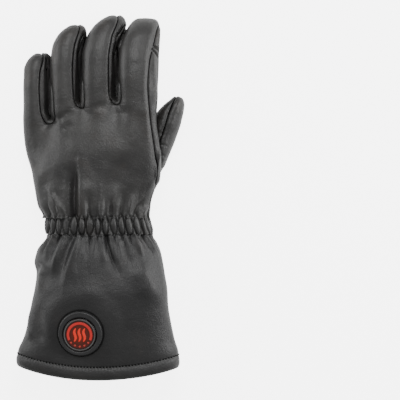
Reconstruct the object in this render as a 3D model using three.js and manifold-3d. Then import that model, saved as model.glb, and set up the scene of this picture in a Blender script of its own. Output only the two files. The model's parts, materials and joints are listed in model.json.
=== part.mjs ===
// Left heated gauntlet glove in padded leather, lying palm down, fingers towards +Y, back of the hand up.
//
// The glove is a hollow skin. The hand and the four fingers are lofted from tables of sections, an outer
// form less an inner one, and the skin is parted along the glove's seams into a back, a palm that comes up
// round the index finger's side, and three fourchettes. The thumb is a tube of two panels. A gathered
// wrist, a gauntlet cuff and a hem follow as sleeves, and a round push switch is set in the cuff's back.
//
// Lengths are millimetres. While it is built, x = 0 is the middle of the wrist, y = 0 is the upper elastic
// row of the wrist and z = 0 is the surface that the glove lies on. At the end the whole glove is placed
// with the middle of its footprint at the origin.

import * as THREE from "three";
import { mergeVertices } from "three/addons/utils/BufferGeometryUtils.js";
import Module from "manifold-3d";

// Leather, padding and lining, sewn as one wall
const WALL = 3;
const SEAM_GAP = 0.4;

// How far the underside of the cuff is pressed flat where the glove rests
const PRESS = 1.2;

// Hand, from the upper elastic row to the roots of the fingers
const HAND_LENGTH = 98;
const HAND_WIDTH = 119;
const HAND_DEPTH = 36;
const HAND_OFFSET = -5;

// Wrist, gathered between two elastic rows
const WRIST_WIDTH = 92;
const WRIST_DEPTH = 44;
const WRIST_LENGTH = 15;
const WRIST_RISE = 1.5;
const GATHERS = 26;
const GATHER_HEIGHT = 3.2;

// Gauntlet cuff and its hem
const CUFF_LENGTH = 116;
const MOUTH_WIDTH = 142;
const MOUTH_OFFSET = -0.8;
const MOUTH_DEPTH = 62;
const BACK_DROP = 9;
const HEM_LENGTH = 12;
const HEM_WALL = 4;

// Thumb
const THUMB_LENGTH = 77;
const THUMB_WIDTH = 26;
const THUMB_DEPTH = 25;
const THUMB_ANGLE = 17.5;
const THUMB_ACROSS = 41.2;
const THUMB_ALONG = 33.5;
const THUMB_ROOT_HEIGHT = 17;

// Push switch, set through the cuff's back: a rubber cup with a dark cap that is pressed down to switch the
// heat, and lit marks let into the cap. Heights are above the leather, and tilt is towards the hem and the
// outer side. The cap stands a little off the cup's middle, towards the hem and the outer side.
const SWITCH_ACROSS = -15;
const SWITCH_BELOW = 101.5;
const SWITCH_TILT = 7;
const SWITCH_ROLL = -6;
const SWITCH_SUNK = 0.6;
const CUP_DIAMETER = 39.5;
const CUP_TOP = 3.4;
const CUP_BOTTOM = -6.5;
const CUP_FLOOR = -1.4;
const RECESS_DIAMETER = 29.6;
const CAP_DIAMETER = 29;
const CAP_ACROSS = -0.4;
const CAP_ALONG = -0.8;
const CAP_BOTTOM = 0;
const CAP_TOP = 3.7;
const MARK_DEPTH = 0.9;
const MARK_PROUD = 0.15;
const FIT = 0.3;
const RIM_DIAMETER = 27.6;
const RIM_WIDTH = 0.7;
const GLOW_DIAMETER = 22.4;
const GLOW_WIDTH = 2.1;
const GLOW_FROM = -26;
const GLOW_TO = 206;
const WAVE_HEIGHT = 12;
const WAVE_WIDTH = 2.1;
const WAVE_SWING = 0.9;
const WAVE_SLANT = 0.12;
const WAVE_PITCH = 4;
const DOTS = 5;
const DOT_DIAMETER = 1.7;
const DOT_SPACING = 24;

// Fingers: length beyond the crotch, full width and depth, and the height of the middle of the root.
// across is the middle of the root, and crotch the crotch's height, as shares of half the hand's width
// and of the hand's length. lean is how far the finger leans to the thumb's side for each unit of length.
const FINGERS = [
  {
    name: "little", length: 65, width: 24, depth: 22, height: 12.4,
    across: -0.9, crotch: 0.835, lean: 0, tip: "blunt", tipLean: 0.35,
  },
  {
    name: "ring", length: 77, width: 28.6, depth: 25, height: 16.5,
    across: -0.452, crotch: 0.943, lean: 0.01, tip: "pointed", tipLean: 1,
  },
  {
    name: "middle", length: 80.5, width: 31.6, depth: 27, height: 21.5,
    across: 0.05, crotch: 0.997, lean: 0.055, tip: "pointed", tipLean: 1,
  },
  {
    name: "index", length: 76, width: 31.2, depth: 27, height: 26.5,
    across: 0.605, crotch: 1.012, lean: 0.035, tip: "blunt", tipLean: 0.35,
  },
];

// Finger sections: at is the share of the length, half the share of half the width, deep the share of
// half the depth, shift the share of half the width by which a leaning tip moves to the thumb's side.
const TIPS = {
  pointed: [
    { at: -0.34, half: 0.56, deep: 0.9, shift: 0 },
    { at: -0.12, half: 0.88, deep: 1.16, shift: 0 },
    { at: 0.12, half: 1, deep: 1.1, shift: 0 },
    { at: 0.5, half: 1.01, deep: 1, shift: 0 },
    { at: 0.75, half: 0.98, deep: 0.95, shift: 0.05 },
    { at: 0.86, half: 0.86, deep: 0.84, shift: 0.2 },
    { at: 0.92, half: 0.69, deep: 0.68, shift: 0.31 },
    { at: 0.96, half: 0.5, deep: 0.48, shift: 0.4 },
    { at: 0.99, half: 0.28, deep: 0.25, shift: 0.43 },
    { at: 1, half: 0, deep: 0, shift: 0.44 },
  ],
  blunt: [
    { at: -0.34, half: 0.5, deep: 0.9, shift: 0 },
    { at: -0.12, half: 0.84, deep: 1.16, shift: 0 },
    { at: 0.12, half: 1, deep: 1.1, shift: 0 },
    { at: 0.5, half: 1, deep: 1, shift: 0 },
    { at: 0.76, half: 0.99, deep: 0.95, shift: 0.05 },
    { at: 0.87, half: 0.89, deep: 0.83, shift: 0.2 },
    { at: 0.94, half: 0.72, deep: 0.64, shift: 0.36 },
    { at: 0.975, half: 0.5, deep: 0.42, shift: 0.41 },
    { at: 0.993, half: 0.28, deep: 0.22, shift: 0.43 },
    { at: 1, half: 0, deep: 0, shift: 0.44 },
  ],
};

// How a finger comes down to the surface: drop is the share of the way from the root's height to rest.
const FINGER_FALL = [
  { at: -0.34, drop: -0.1 },
  { at: 0, drop: 0 },
  { at: 0.4, drop: 0 },
  { at: 0.7, drop: 0.35 },
  { at: 1, drop: 1 },
];

// Hand sections: at is the share of the hand's length. left and right are shares of the way from the
// wrist's edge to the hand's full edge, deep is the share of the way from the wrist's depth to the
// hand's, rise is the height of the underside as a share of the hand's depth, roll is in degrees.
const HAND_SECTIONS = [
  { at: 0, left: 0.12, right: -0.18, deep: 0, rise: 0.04, roll: 0 },
  { at: 0.1, left: 0.3, right: -0.08, deep: 0.02, rise: 0.03, roll: 0.5 },
  { at: 0.22, left: 0.48, right: 0.2, deep: 0.1, rise: 0.02, roll: 1.5 },
  { at: 0.34, left: 0.6, right: 0.95, deep: 0.25, rise: 0.03, roll: 3 },
  { at: 0.5, left: 0.76, right: 1.08, deep: 0.5, rise: 0.06, roll: 5 },
  { at: 0.68, left: 0.96, right: 1.02, deep: 0.8, rise: 0.1, roll: 7 },
  { at: 0.84, left: 1.03, right: 0.9, deep: 1.1, rise: 0.12, roll: 8 },
  { at: 0.93, left: 1.02, right: 0.78, deep: 1.7, rise: 0.19, roll: 8.5 },
  { at: 1, left: 0.96, right: 0.66, deep: 2.6, rise: 0.3, roll: 9 },
];

// Cuff sections: at is the share of the cuff's length from the lower elastic row. left and right are
// shares of the way from the wrist's edge to the mouth's edge, deep is the same for the depth, rise is
// the share of the wrist's rise that the underside still has.
const CUFF_SECTIONS = [
  { at: 0, left: 0.02, right: 0.05, deep: 0.04, rise: 1 },
  { at: 0.08, left: 0.16, right: 0.24, deep: 0.28, rise: 0.5 },
  { at: 0.14, left: 0.34, right: 0.35, deep: 0.44, rise: 0.1 },
  { at: 0.23, left: 0.42, right: 0.45, deep: 0.56, rise: 0 },
  { at: 0.33, left: 0.33, right: 0.53, deep: 0.6, rise: 0 },
  { at: 0.44, left: 0.4, right: 0.61, deep: 0.68, rise: 0 },
  { at: 0.58, left: 0.54, right: 0.66, deep: 0.76, rise: 0 },
  { at: 0.72, left: 0.67, right: 0.74, deep: 0.84, rise: 0 },
  { at: 0.86, left: 0.84, right: 0.87, deep: 0.92, rise: 0 },
  { at: 1, left: 1, right: 1, deep: 1, rise: 0 },
];

// Thumb sections: as a finger's, with drop as the share of the way from the root's height to rest.
const THUMB_SECTIONS = [
  { at: -0.1, half: 0.62, deep: 0.62, shift: -0.25, drop: -0.1 },
  { at: 0.06, half: 0.86, deep: 0.84, shift: -0.12, drop: 0 },
  { at: 0.22, half: 1, deep: 0.98, shift: 0, drop: 0.3 },
  { at: 0.45, half: 1, deep: 1, shift: 0.02, drop: 0.8 },
  { at: 0.66, half: 0.98, deep: 0.98, shift: 0.02, drop: 1 },
  { at: 0.8, half: 0.93, deep: 0.9, shift: 0.08, drop: 1 },
  { at: 0.9, half: 0.74, deep: 0.74, shift: 0.26, drop: 1 },
  { at: 0.965, half: 0.46, deep: 0.46, shift: 0.42, drop: 1 },
  { at: 0.992, half: 0.2, deep: 0.2, shift: 0.55, drop: 1 },
  { at: 1, half: 0, deep: 0, shift: 0.6, drop: 1 },
];

// Folds of the hand's back that run up from the gathers. x is a share of half the wrist's width at each
// end, from and to are shares of the hand's length, wide and high are shares of the hand's depth.
const HAND_FOLDS = [
  { x: -0.86, xTo: -1.18, from: 0, to: 0.36, wide: 0.1, high: 0.036 },
  { x: -0.66, xTo: -0.98, from: 0, to: 0.3, wide: 0.09, high: 0.048 },
  { x: -0.46, xTo: -0.52, from: -0.05, to: 0.62, wide: 0.12, high: -0.084 },
  { x: -0.3, xTo: -0.36, from: 0, to: 0.72, wide: 0.12, high: 0.054 },
  { x: -0.1, xTo: -0.12, from: -0.05, to: 0.3, wide: 0.12, high: -0.036 },
  { x: 0.06, xTo: 0.05, from: 0, to: 0.28, wide: 0.1, high: 0.03 },
  { x: 0.3, xTo: 0.34, from: -0.05, to: 0.3, wide: 0.12, high: -0.036 },
  { x: 0.62, xTo: 0.74, from: 0, to: 0.26, wide: 0.1, high: 0.036 },
];

// Folds of the cuff's back, as above, down from the gathers, as shares of the cuff's length.
const CUFF_FOLDS = [
  { x: -0.82, xTo: -1.12, from: 0, to: 0.34, wide: 0.16, high: 0.054 },
  { x: -0.66, xTo: -0.78, from: 0, to: 0.4, wide: 0.1, high: -0.063 },
  { x: -0.48, xTo: -0.62, from: 0, to: 0.45, wide: 0.09, high: 0.045 },
  { x: -0.34, xTo: -0.5, from: 0, to: 0.5, wide: 0.1, high: -0.063 },
  { x: -0.22, xTo: -0.46, from: 0, to: 0.55, wide: 0.11, high: 0.063 },
  { x: 0.06, xTo: 0.22, from: 0, to: 0.3, wide: 0.12, high: 0.045 },
  { x: 0.2, xTo: 0.58, from: 0, to: 0.5, wide: 0.12, high: -0.072 },
  { x: 0.62, xTo: 1.12, from: 0.05, to: 0.6, wide: 0.2, high: 0.063 },
  { x: 0.84, xTo: 1.1, from: 0, to: 0.3, wide: 0.1, high: -0.045 },
];

// Seams of a finger's back, seen from above, as shares of the finger's half width from its middle: near is
// the seam on the thumb's side, far is the one on the other side. From sideAt on, the far seam lies on the
// finger's side, at sideSeam of its half depth. at is the share of the finger's length.
const FINGER_SEAMS = [
  { at: -0.08, near: 0.86, far: -0.84 },
  { at: 0.02, near: 0.62, far: -0.8 },
  { at: 0.12, near: 0.44, far: -0.84 },
  { at: 0.3, near: 0.31, far: -0.92 },
  { at: 0.5, near: 0.26, far: -0.94 },
  { at: 0.7, near: 0.3, far: -0.9 },
  { at: 0.82, near: 0.46, far: -0.84 },
  { at: 0.92, near: 0.66, far: -0.7 },
  { at: 1, near: 0.9, far: -0.5 },
];
const SIDE_AT = 0.3;
const SIDE_SEAM = 0.1;

// Height of the palm's seams on a finger or on the hand's outer side, as a share of the half depth
const PALM_SEAM = -0.42;
const OUTER_SEAM = -0.25;

// Seam between the back and the palm's leather, which comes up round the index finger's side. x is a share
// of half the hand's width from the middle of the wrist, at a share of the hand's length.
const GUSSET_SEAM = [
  { at: 0.3, x: 0.86 },
  { at: 0.45, x: 0.87 },
  { at: 0.65, x: 0.84 },
  { at: 0.85, x: 0.795 },
  { at: 1, x: 0.775 },
  { at: 1.2, x: 0.765 },
  { at: 1.4, x: 0.8 },
  { at: 1.55, x: 0.83 },
  { at: 1.7, x: 0.88 },
  { at: 1.8, x: 0.95 },
];

// Seam along the top of the thumb, as a share of its half width, at shares of its length
const THUMB_SEAM = [
  { at: 0, x: -0.1 },
  { at: 0.3, x: -0.15 },
  { at: 0.6, x: 0.05 },
  { at: 0.85, x: 0.35 },
  { at: 1, x: 0.75 },
];

// How far the web between two fingers runs onto the back of the hand, and how far the hem's middle hangs
// below its ends
const WEB_REACH = 6;
const HEM_SAG = 13;

// Heights at which fingertips and the thumb rest, as shares of their depth, and the size of a tip's end
const FINGER_REST = 0.42;
const THUMB_REST = 0.47;
const TIP_END = 0.4;

// Share of the hand's length at which its sections start to follow the crotch line
const SHEAR_FROM = 0.35;
const SHEAR_TO = 0.85;

// Points round the sections, and stations along the cutters
const HAND_POINTS = 34;
const HAND_STEPS = 8;
const FINGER_POINTS = 14;
const FINGER_STEPS = 6;
const CUFF_POINTS = 40;
const FOURCHETTE_STEPS = 7;
const PALM_STEPS = 8;

const ROUND_SEGMENTS = 24;
const RADIANS = Math.PI / 180;

// Smooth curve through one column of a table
function column(rows, key, at) {
  const last = rows.length - 1;
  if (at <= rows[0].at) return rows[0][key];
  if (at >= rows[last].at) return rows[last][key];
  let i = 0;
  while (at > rows[i + 1].at) i += 1;
  const slope = (j) => {
    if (j === 0 || j === last) return 0;
    const before = (rows[j][key] - rows[j - 1][key]) / (rows[j].at - rows[j - 1].at);
    const after = (rows[j + 1][key] - rows[j][key]) / (rows[j + 1].at - rows[j].at);
    return before * after <= 0 ? 0 : (2 * before * after) / (before + after);
  };
  const span = rows[i + 1].at - rows[i].at;
  const t = (at - rows[i].at) / span;
  const rise = rows[i + 1][key] - rows[i][key];
  const a = slope(i) * span - rise;
  const b = rise - slope(i + 1) * span;
  return rows[i][key] + rise * t + t * (1 - t) * (a * (1 - t) + b * t);
}

// Points round a section, evenly spaced, from the middle of its underside. A section is a rounded
// rectangle between an ellipse and a box, rolled about y. It lies flat where it would pass the surface.
function ring(section, inset, count, fold) {
  const fine = 360;
  const power = 2 / section.power;
  const middle = (section.left + section.right) / 2;
  const half = Math.max((section.right - section.left) / 2 - inset, 0);
  const up = Math.max(section.up - inset, 0);
  const down = Math.max(section.down - inset, 0);
  const roll = (section.roll ?? 0) * RADIANS;
  const points = [];
  for (let i = 0; i <= fine; i += 1) {
    const angle = -Math.PI / 2 + (i / fine) * 2 * Math.PI;
    const c = Math.cos(angle);
    const s = Math.sin(angle);
    const u = half * Math.sign(c) * Math.abs(c) ** power;
    const v = (s > 0 ? up : down) * Math.sign(s) * Math.abs(s) ** power;
    const x = middle + u * Math.cos(roll) - v * Math.sin(roll);
    let z = section.height + u * Math.sin(roll) + v * Math.cos(roll);
    if (fold && s > 0) z += fold(x, section) * Math.sqrt(s);
    const y = section.y + (section.bend ? section.bend(x, Math.max(s, 0)) : 0);
    points.push(new THREE.Vector3(x, y, Math.max(z, inset, 0)));
  }
  const lengths = [0];
  for (let i = 1; i <= fine; i += 1) lengths.push(lengths[i - 1] + points[i].distanceTo(points[i - 1]));
  const total = lengths[fine];
  const spaced = [];
  let j = 0;
  for (let i = 0; i < count; i += 1) {
    const wanted = (i / count) * total;
    while (j < fine - 1 && lengths[j + 1] < wanted) j += 1;
    const t = (wanted - lengths[j]) / Math.max(lengths[j + 1] - lengths[j], 1e-9);
    spaced.push(points[j].clone().lerp(points[j + 1], t));
  }
  return spaced;
}

function closedGeometry(points, faces) {
  const geometry = new THREE.BufferGeometry();
  geometry.setAttribute("position", new THREE.Float32BufferAttribute(points.flatMap((p) => p.toArray()), 3));
  geometry.setIndex(faces.flat());
  geometry.computeVertexNormals();
  return geometry;
}

function bands(rings, faces, first, turned) {
  const count = rings[0].length;
  for (let r = 0; r < rings.length - 1; r += 1) {
    for (let i = 0; i < count; i += 1) {
      const a = first + r * count + i;
      const b = first + r * count + ((i + 1) % count);
      const c = a + count;
      const d = b + count;
      faces.push(...(turned ? [[a, b, d], [a, d, c]] : [[a, d, b], [a, c, d]]));
    }
  }
}

// A closed solid through rings that run towards +y, with each end filled from its middle
function loft(rings) {
  const points = rings.flat();
  const faces = [];
  const count = rings[0].length;
  bands(rings, faces, 0, false);
  for (const [end, first] of [[rings[0], 0], [rings.at(-1), points.length - count]]) {
    const middle = end.reduce((sum, p) => sum.add(p), new THREE.Vector3()).divideScalar(count);
    const hub = points.push(middle) - 1;
    for (let i = 0; i < count; i += 1) {
      const a = first + i;
      const b = first + ((i + 1) % count);
      faces.push(first === 0 ? [hub, a, b] : [hub, b, a]);
    }
  }
  return closedGeometry(points, faces);
}

// A closed solid round a profile of rings: out along one side, back along the other
function sleeve(profile) {
  const faces = [];
  bands([...profile, profile[0]], faces, 0, false);
  const total = profile.length * profile[0].length;
  return closedGeometry(profile.flat(), faces.map((face) => face.map((index) => index % total)));
}

const wasm = await Module();
wasm.setup();

function solid(geometry) {
  const bare = geometry.clone();
  bare.deleteAttribute("normal");
  bare.deleteAttribute("uv");
  const merged = mergeVertices(bare, 1e-4);
  const index = merged.index.array;
  const triVerts = [];
  for (let i = 0; i < index.length; i += 3) {
    const [a, b, c] = [index[i], index[i + 1], index[i + 2]];
    if (a !== b && b !== c && c !== a) triVerts.push(a, b, c);
  }
  const mesh = new wasm.Mesh({
    numProp: 3,
    vertProperties: merged.attributes.position.array,
    triVerts: new Uint32Array(triVerts),
  });
  return new wasm.Manifold(mesh);
}

function geometryOf(manifold) {
  const mesh = manifold.getMesh();
  const geometry = new THREE.BufferGeometry();
  geometry.setAttribute("position", new THREE.BufferAttribute(new Float32Array(mesh.vertProperties), 3));
  geometry.setIndex(new THREE.BufferAttribute(new Uint32Array(mesh.triVerts), 1));
  geometry.computeVertexNormals();
  return geometry;
}

// The largest body of a cut piece, without the offcuts that a seam leaves
function mainBody(manifold) {
  return manifold.decompose().reduce((a, b) => (a.volume() > b.volume() ? a : b));
}

const unite = (solids) => solids.reduce((a, b) => a.add(b));

const leather = { color: 0x2b2b2a, roughness: 0.55, metalness: 0 };
const glove = new THREE.Group();

function addPiece(name, geometry, look) {
  const mesh = new THREE.Mesh(geometry, new THREE.MeshStandardMaterial(look));
  mesh.name = name;
  glove.add(mesh);
  return mesh;
}

// Height that a table of folds adds at a place on the back. The fold fades in and out along its length.
function foldHeight(folds, x, at, unitX, unitHeight) {
  let height = 0;
  for (const row of folds) {
    const t = (at - row.from) / (row.to - row.from);
    if (t > -0.15 && t < 1) {
      const middle = (row.x + (row.xTo - row.x) * t) * unitX;
      const away = (x - middle) / (row.wide * unitHeight);
      const fade = Math.min(1, (t + 0.15) / 0.15) * Math.sqrt(1 - Math.max(t, 0));
      height += row.high * unitHeight * fade * Math.exp(-away * away);
    }
  }
  return height;
}

const wristHalf = WRIST_WIDTH / 2;
const handLeft = HAND_OFFSET - HAND_WIDTH / 2;
const handRight = HAND_OFFSET + HAND_WIDTH / 2;
const handHalf = HAND_WIDTH / 2;

const fingerX = (finger) => finger.across * handHalf;
const fingerY = (finger) => finger.crotch * HAND_LENGTH;

// The crotch line across the hand, through the roots of the fingers
function crotchLine(x) {
  const roots = FINGERS.map((finger) => ({ at: fingerX(finger), y: fingerY(finger) }));
  return column(roots, "y", x);
}

function handSection(at) {
  const depth = WRIST_DEPTH + (HAND_DEPTH - WRIST_DEPTH) * column(HAND_SECTIONS, "deep", at);
  const rise = column(HAND_SECTIONS, "rise", at) * HAND_DEPTH;
  const sheared = Math.min(Math.max((at - SHEAR_FROM) / (SHEAR_TO - SHEAR_FROM), 0), 1);
  return {
    y: at * HAND_LENGTH,
    left: -wristHalf + (handLeft + wristHalf) * column(HAND_SECTIONS, "left", at),
    right: wristHalf + (handRight - wristHalf) * column(HAND_SECTIONS, "right", at),
    up: depth / 2,
    down: depth / 2,
    height: rise + depth / 2,
    roll: column(HAND_SECTIONS, "roll", at),
    power: 2.35,
    bend: (x) => sheared * (crotchLine(x) - HAND_LENGTH),
  };
}

function handForm(inset, around, steps) {
  const first = inset > 0 ? -0.02 : 0;
  const last = HAND_SECTIONS.at(-1).at - inset / HAND_LENGTH;
  const fold = (x, section) => foldHeight(HAND_FOLDS, x, section.y / HAND_LENGTH, wristHalf, HAND_DEPTH);
  const rings = [];
  for (let i = 0; i <= steps; i += 1) {
    const at = first + (last - first) * (i / steps) ** 0.92;
    rings.push(ring({ ...handSection(Math.max(at, 0)), y: at * HAND_LENGTH }, inset, around, fold));
  }
  return solid(loft(rings));
}

function fingerSection(finger, at) {
  const rows = TIPS[finger.tip];
  const half = (finger.width / 2) * column(rows, "half", at);
  const deep = (finger.depth / 2) * column(rows, "deep", at);
  const tipShift = column(rows, "shift", at) * finger.tipLean * (finger.width / 2);
  const lean = finger.lean * at * finger.length + tipShift;
  const rest = finger.depth * FINGER_REST;
  const middle = fingerX(finger) + lean;
  return {
    y: fingerY(finger) + at * finger.length,
    left: middle - half,
    right: middle + half,
    up: deep,
    down: deep,
    height: finger.height + (rest - finger.height) * column(FINGER_FALL, "drop", at),
    power: 2.15,
  };
}

// Shares of a finger's or thumb's length at which its sections stand, closer together at the tip
function tipStations(rows, steps) {
  const first = rows[0].at;
  const share = (i) => Math.sin(((i / steps) * Math.PI) / 2) ** 0.85;
  return Array.from({ length: steps }, (_, i) => first + (1 - first) * share(i));
}

// A finger's or thumb's form from its sections, less an inset, closed by a small end at its tip
function digitForm(sectionAt, rows, inset, around, steps) {
  const rings = tipStations(rows, steps).map((at) => {
    const section = sectionAt(at);
    return ring({ ...section, y: section.y - inset * Math.max(at, 0) }, inset, around);
  });
  const tip = sectionAt(1);
  const end = { left: tip.left - TIP_END, right: tip.right + TIP_END, up: TIP_END, down: TIP_END };
  rings.push(ring({ ...tip, ...end, y: tip.y - inset }, 0, around));
  return loft(rings);
}

function fingerForm(finger, inset, around, steps) {
  const sectionAt = (at) => fingerSection(finger, at);
  return solid(digitForm(sectionAt, TIPS[finger.tip], inset, around, steps));
}

// Thumb, lofted along its own line and then turned about its root
const thumbRoot = new THREE.Vector3(THUMB_ACROSS, THUMB_ALONG, 0);

function thumbSection(at) {
  const half = (THUMB_WIDTH / 2) * column(THUMB_SECTIONS, "half", at);
  const shift = column(THUMB_SECTIONS, "shift", at) * (THUMB_WIDTH / 2);
  const deep = (THUMB_DEPTH / 2) * column(THUMB_SECTIONS, "deep", at);
  const rest = THUMB_DEPTH * THUMB_REST;
  return {
    y: at * THUMB_LENGTH,
    left: shift - half,
    right: shift + half,
    up: deep,
    down: deep,
    height: THUMB_ROOT_HEIGHT + (rest - THUMB_ROOT_HEIGHT) * column(THUMB_SECTIONS, "drop", at),
    power: 2.15,
  };
}

function thumbForm(inset, around, steps) {
  return solid(placeThumb(digitForm(thumbSection, THUMB_SECTIONS, inset, around, steps)));
}

function placeThumb(geometry) {
  geometry.rotateZ(-THUMB_ANGLE * RADIANS);
  geometry.translate(thumbRoot.x, thumbRoot.y, 0);
  return geometry;
}

const handOuter = unite([
  handForm(0, HAND_POINTS, HAND_STEPS),
  ...FINGERS.map((finger) => fingerForm(finger, 0, FINGER_POINTS, FINGER_STEPS)),
]);
const thumbInner = thumbForm(WALL, 12, 5);
const hollow = unite([
  handForm(WALL, 22, 4),
  ...FINGERS.map((finger) => fingerForm(finger, WALL, 10, 4)),
  thumbInner,
]);
const skin = handOuter.subtract(hollow);

// Cutters run along y through rings of equal numbers of points [x, z]
const HIGH = 90;
const WIDE = 120;

function cutter(stations) {
  return solid(loft(stations.map(({ y, outline }) => outline.map(([x, z]) => new THREE.Vector3(x, y, z)))));
}

// Space between two neighbouring fingers that their fourchette fills: above the palm's seams and between
// the back's seams, with a round end on the back of the hand
function fourchetteCutter(left, right, grow) {
  const endY = (fingerY(left) + fingerY(right)) / 2 - WEB_REACH - grow;
  const webX = (fingerX(left) + left.width / 2 + fingerX(right) - right.width / 2) / 2;
  const top = Math.max(fingerY(left) + left.length, fingerY(right) + right.length) + 10;
  const stations = [];
  for (let i = 0; i <= FOURCHETTE_STEPS; i += 1) {
    const t = i / FOURCHETTE_STEPS;
    const y = endY + (top - endY) * t ** 1.6;
    const open = Math.min(1, (y - endY + 0.6) / WEB_REACH);
    const round = Math.sqrt(1 - (1 - open) ** 2);
    const atLeft = Math.min((y - fingerY(left)) / left.length, 1);
    const atRight = Math.min((y - fingerY(right)) / right.length, 1);
    const leftSection = fingerSection(left, atLeft);
    const rightSection = fingerSection(right, atRight);
    const leftHalf = (leftSection.right - leftSection.left) / 2;
    const rightHalf = (rightSection.right - rightSection.left) / 2;
    const leftSeam = leftSection.left + leftHalf * (1 + column(FINGER_SEAMS, "near", atLeft));
    const rightSeam = rightSection.left + rightHalf * (1 + column(FINGER_SEAMS, "far", atRight));
    const middle = y < fingerY(left) + left.length / 4 ? webX : (leftSection.right + rightSection.left) / 2;
    const leftX = middle + (leftSeam - middle) * round - grow;
    const rightX = middle + (rightSeam - middle) * round + grow;
    const leftLow = leftSection.height + leftSection.up * PALM_SEAM - grow;
    const rightLow = rightSection.height + rightSection.up * PALM_SEAM - grow;
    const side = Math.min(Math.max((atRight - SIDE_AT) / 0.08, 0), 1);
    const rightTop = HIGH + (rightSection.height + rightSection.up * SIDE_SEAM + grow - HIGH) * side;
    stations.push({
      y,
      outline: [[leftX, leftLow], [rightX, rightLow], [rightX, rightTop], [middle, HIGH], [leftX, HIGH]],
    });
  }
  return cutter(stations);
}

// Everything that the palm's leather covers: below the seams, and round the index finger's side
function palmCutter(grow) {
  const stations = [];
  const end = HAND_LENGTH * 2 - 6;
  for (let i = 0; i <= PALM_STEPS; i += 1) {
    const y = -4 + ((end + 4) * i) / PALM_STEPS;
    const at = Math.min(Math.max(y / HAND_LENGTH, 0), 1);
    const hand = handSection(at);
    const blend = Math.min(Math.max((y / HAND_LENGTH - 0.8) / 0.2, 0), 1);
    const heights = FINGERS.map((finger) => {
      const section = fingerSection(finger, Math.max((y - fingerY(finger)) / finger.length, -0.3));
      return section.height;
    });
    const slope = Math.tan(hand.roll * RADIANS);
    const line = (x, fingerHeight) => (hand.height + slope * x) * (1 - blend) + fingerHeight * blend;
    const xs = FINGERS.map(fingerX);
    const gusset = column(GUSSET_SEAM, "x", y / HAND_LENGTH) * handHalf - grow;
    const fingerSeam = heights[0] + (FINGERS[0].depth / 2) * OUTER_SEAM;
    const outer = line(hand.left, fingerSeam) + (1 - blend) * hand.up * OUTER_SEAM;
    stations.push({
      y,
      outline: [
        [-WIDE, -HIGH],
        [WIDE, -HIGH],
        [WIDE, HIGH],
        [gusset, HIGH],
        [gusset, line(xs[3], heights[3]) + grow],
        [xs[2], line(xs[2], heights[2]) + grow],
        [xs[1], line(xs[1], heights[1]) + grow],
        [xs[0], outer + grow],
        [-WIDE, outer + grow],
      ],
    });
  }
  return cutter(stations);
}

const pairs = FINGERS.slice(1).map((finger, i) => [FINGERS[i], finger]);
for (const [left, right] of pairs) {
  const piece = mainBody(skin.intersect(fourchetteCutter(left, right, 0)));
  addPiece(`fourchette_${left.name}_${right.name}`, geometryOf(piece), leather);
}
const panels = pairs.reduce(
  (rest, [left, right]) => rest.subtract(fourchetteCutter(left, right, SEAM_GAP)),
  skin,
);
const handBack = mainBody(panels.subtract(palmCutter(SEAM_GAP)));
const palm = mainBody(panels.intersect(palmCutter(0)));
addPiece("hand_back", geometryOf(handBack), leather);
addPiece("palm", geometryOf(palm), leather);

// Thumb, in two panels that meet along its top and underneath
function thumbCutter(side) {
  const stations = [];
  for (let i = 0; i <= 8; i += 1) {
    const at = -0.3 + (1.5 * i) / 8;
    const section = thumbSection(Math.min(at, 0.98));
    const middle = (section.left + section.right) / 2;
    const seam = middle + (THUMB_WIDTH / 2) * column(THUMB_SEAM, "x", at) + (side * SEAM_GAP) / 2;
    stations.push({
      y: at * THUMB_LENGTH,
      outline: side < 0
        ? [[-WIDE, -HIGH], [seam, -HIGH], [seam, HIGH], [-WIDE, HIGH]]
        : [[seam, -HIGH], [WIDE, -HIGH], [WIDE, HIGH], [seam, HIGH]],
    });
  }
  const rings = stations.map(({ y, outline }) => outline.map(([x, z]) => new THREE.Vector3(x, y, z)));
  return solid(placeThumb(loft(rings)));
}

const thumbOuter = thumbForm(0, 14, 7);
const thumbShell = thumbOuter.subtract(thumbInner);
const thumbTube = mainBody(thumbShell.subtract(handForm(-SEAM_GAP, HAND_POINTS, HAND_STEPS)));
addPiece("thumb_inner", geometryOf(mainBody(thumbTube.intersect(thumbCutter(-1)))), leather);
addPiece("thumb_outer", geometryOf(mainBody(thumbTube.intersect(thumbCutter(1)))), leather);

// Gathered wrist: the same section throughout, its edge drawn up into even gathers that are deep between
// the elastic rows and pointed at them
function gatherRing(y, inset, swell) {
  const section = { ...handSection(0), y, left: -wristHalf, right: wristHalf };
  const count = GATHERS * 4;
  const smooth = ring(section, inset, count);
  const middle = new THREE.Vector3((section.left + section.right) / 2, y, section.height);
  return smooth.map((point, i) => {
    const wave = (1 - Math.cos((i / 4) * 2 * Math.PI)) / 2;
    const out = point.clone().sub(middle).normalize();
    const back = Math.min(Math.max(out.z + 0.9, 0), 1);
    return point.clone().addScaledVector(out, swell * wave * (0.35 + 0.65 * back));
  });
}

// y, then the inset and the swell of the gathers as shares of their height
const gatherProfile = [
  [-SEAM_GAP / 2, 0.7, 0.3],
  [-WRIST_LENGTH * 0.22, 0.95, 1],
  [-WRIST_LENGTH * 0.78, 0.95, 1],
  [-WRIST_LENGTH + SEAM_GAP / 2, 0.7, 0.3],
].map(([y, inset, swell]) => gatherRing(y, inset * GATHER_HEIGHT, swell * GATHER_HEIGHT));
const gatherInside = [-WRIST_LENGTH + SEAM_GAP / 2, -SEAM_GAP / 2]
  .map((y) => gatherRing(y, WALL + 0.7 * GATHER_HEIGHT, 0));
addPiece("wrist", sleeve([...gatherProfile.reverse(), ...gatherInside.reverse()]), leather);

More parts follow.
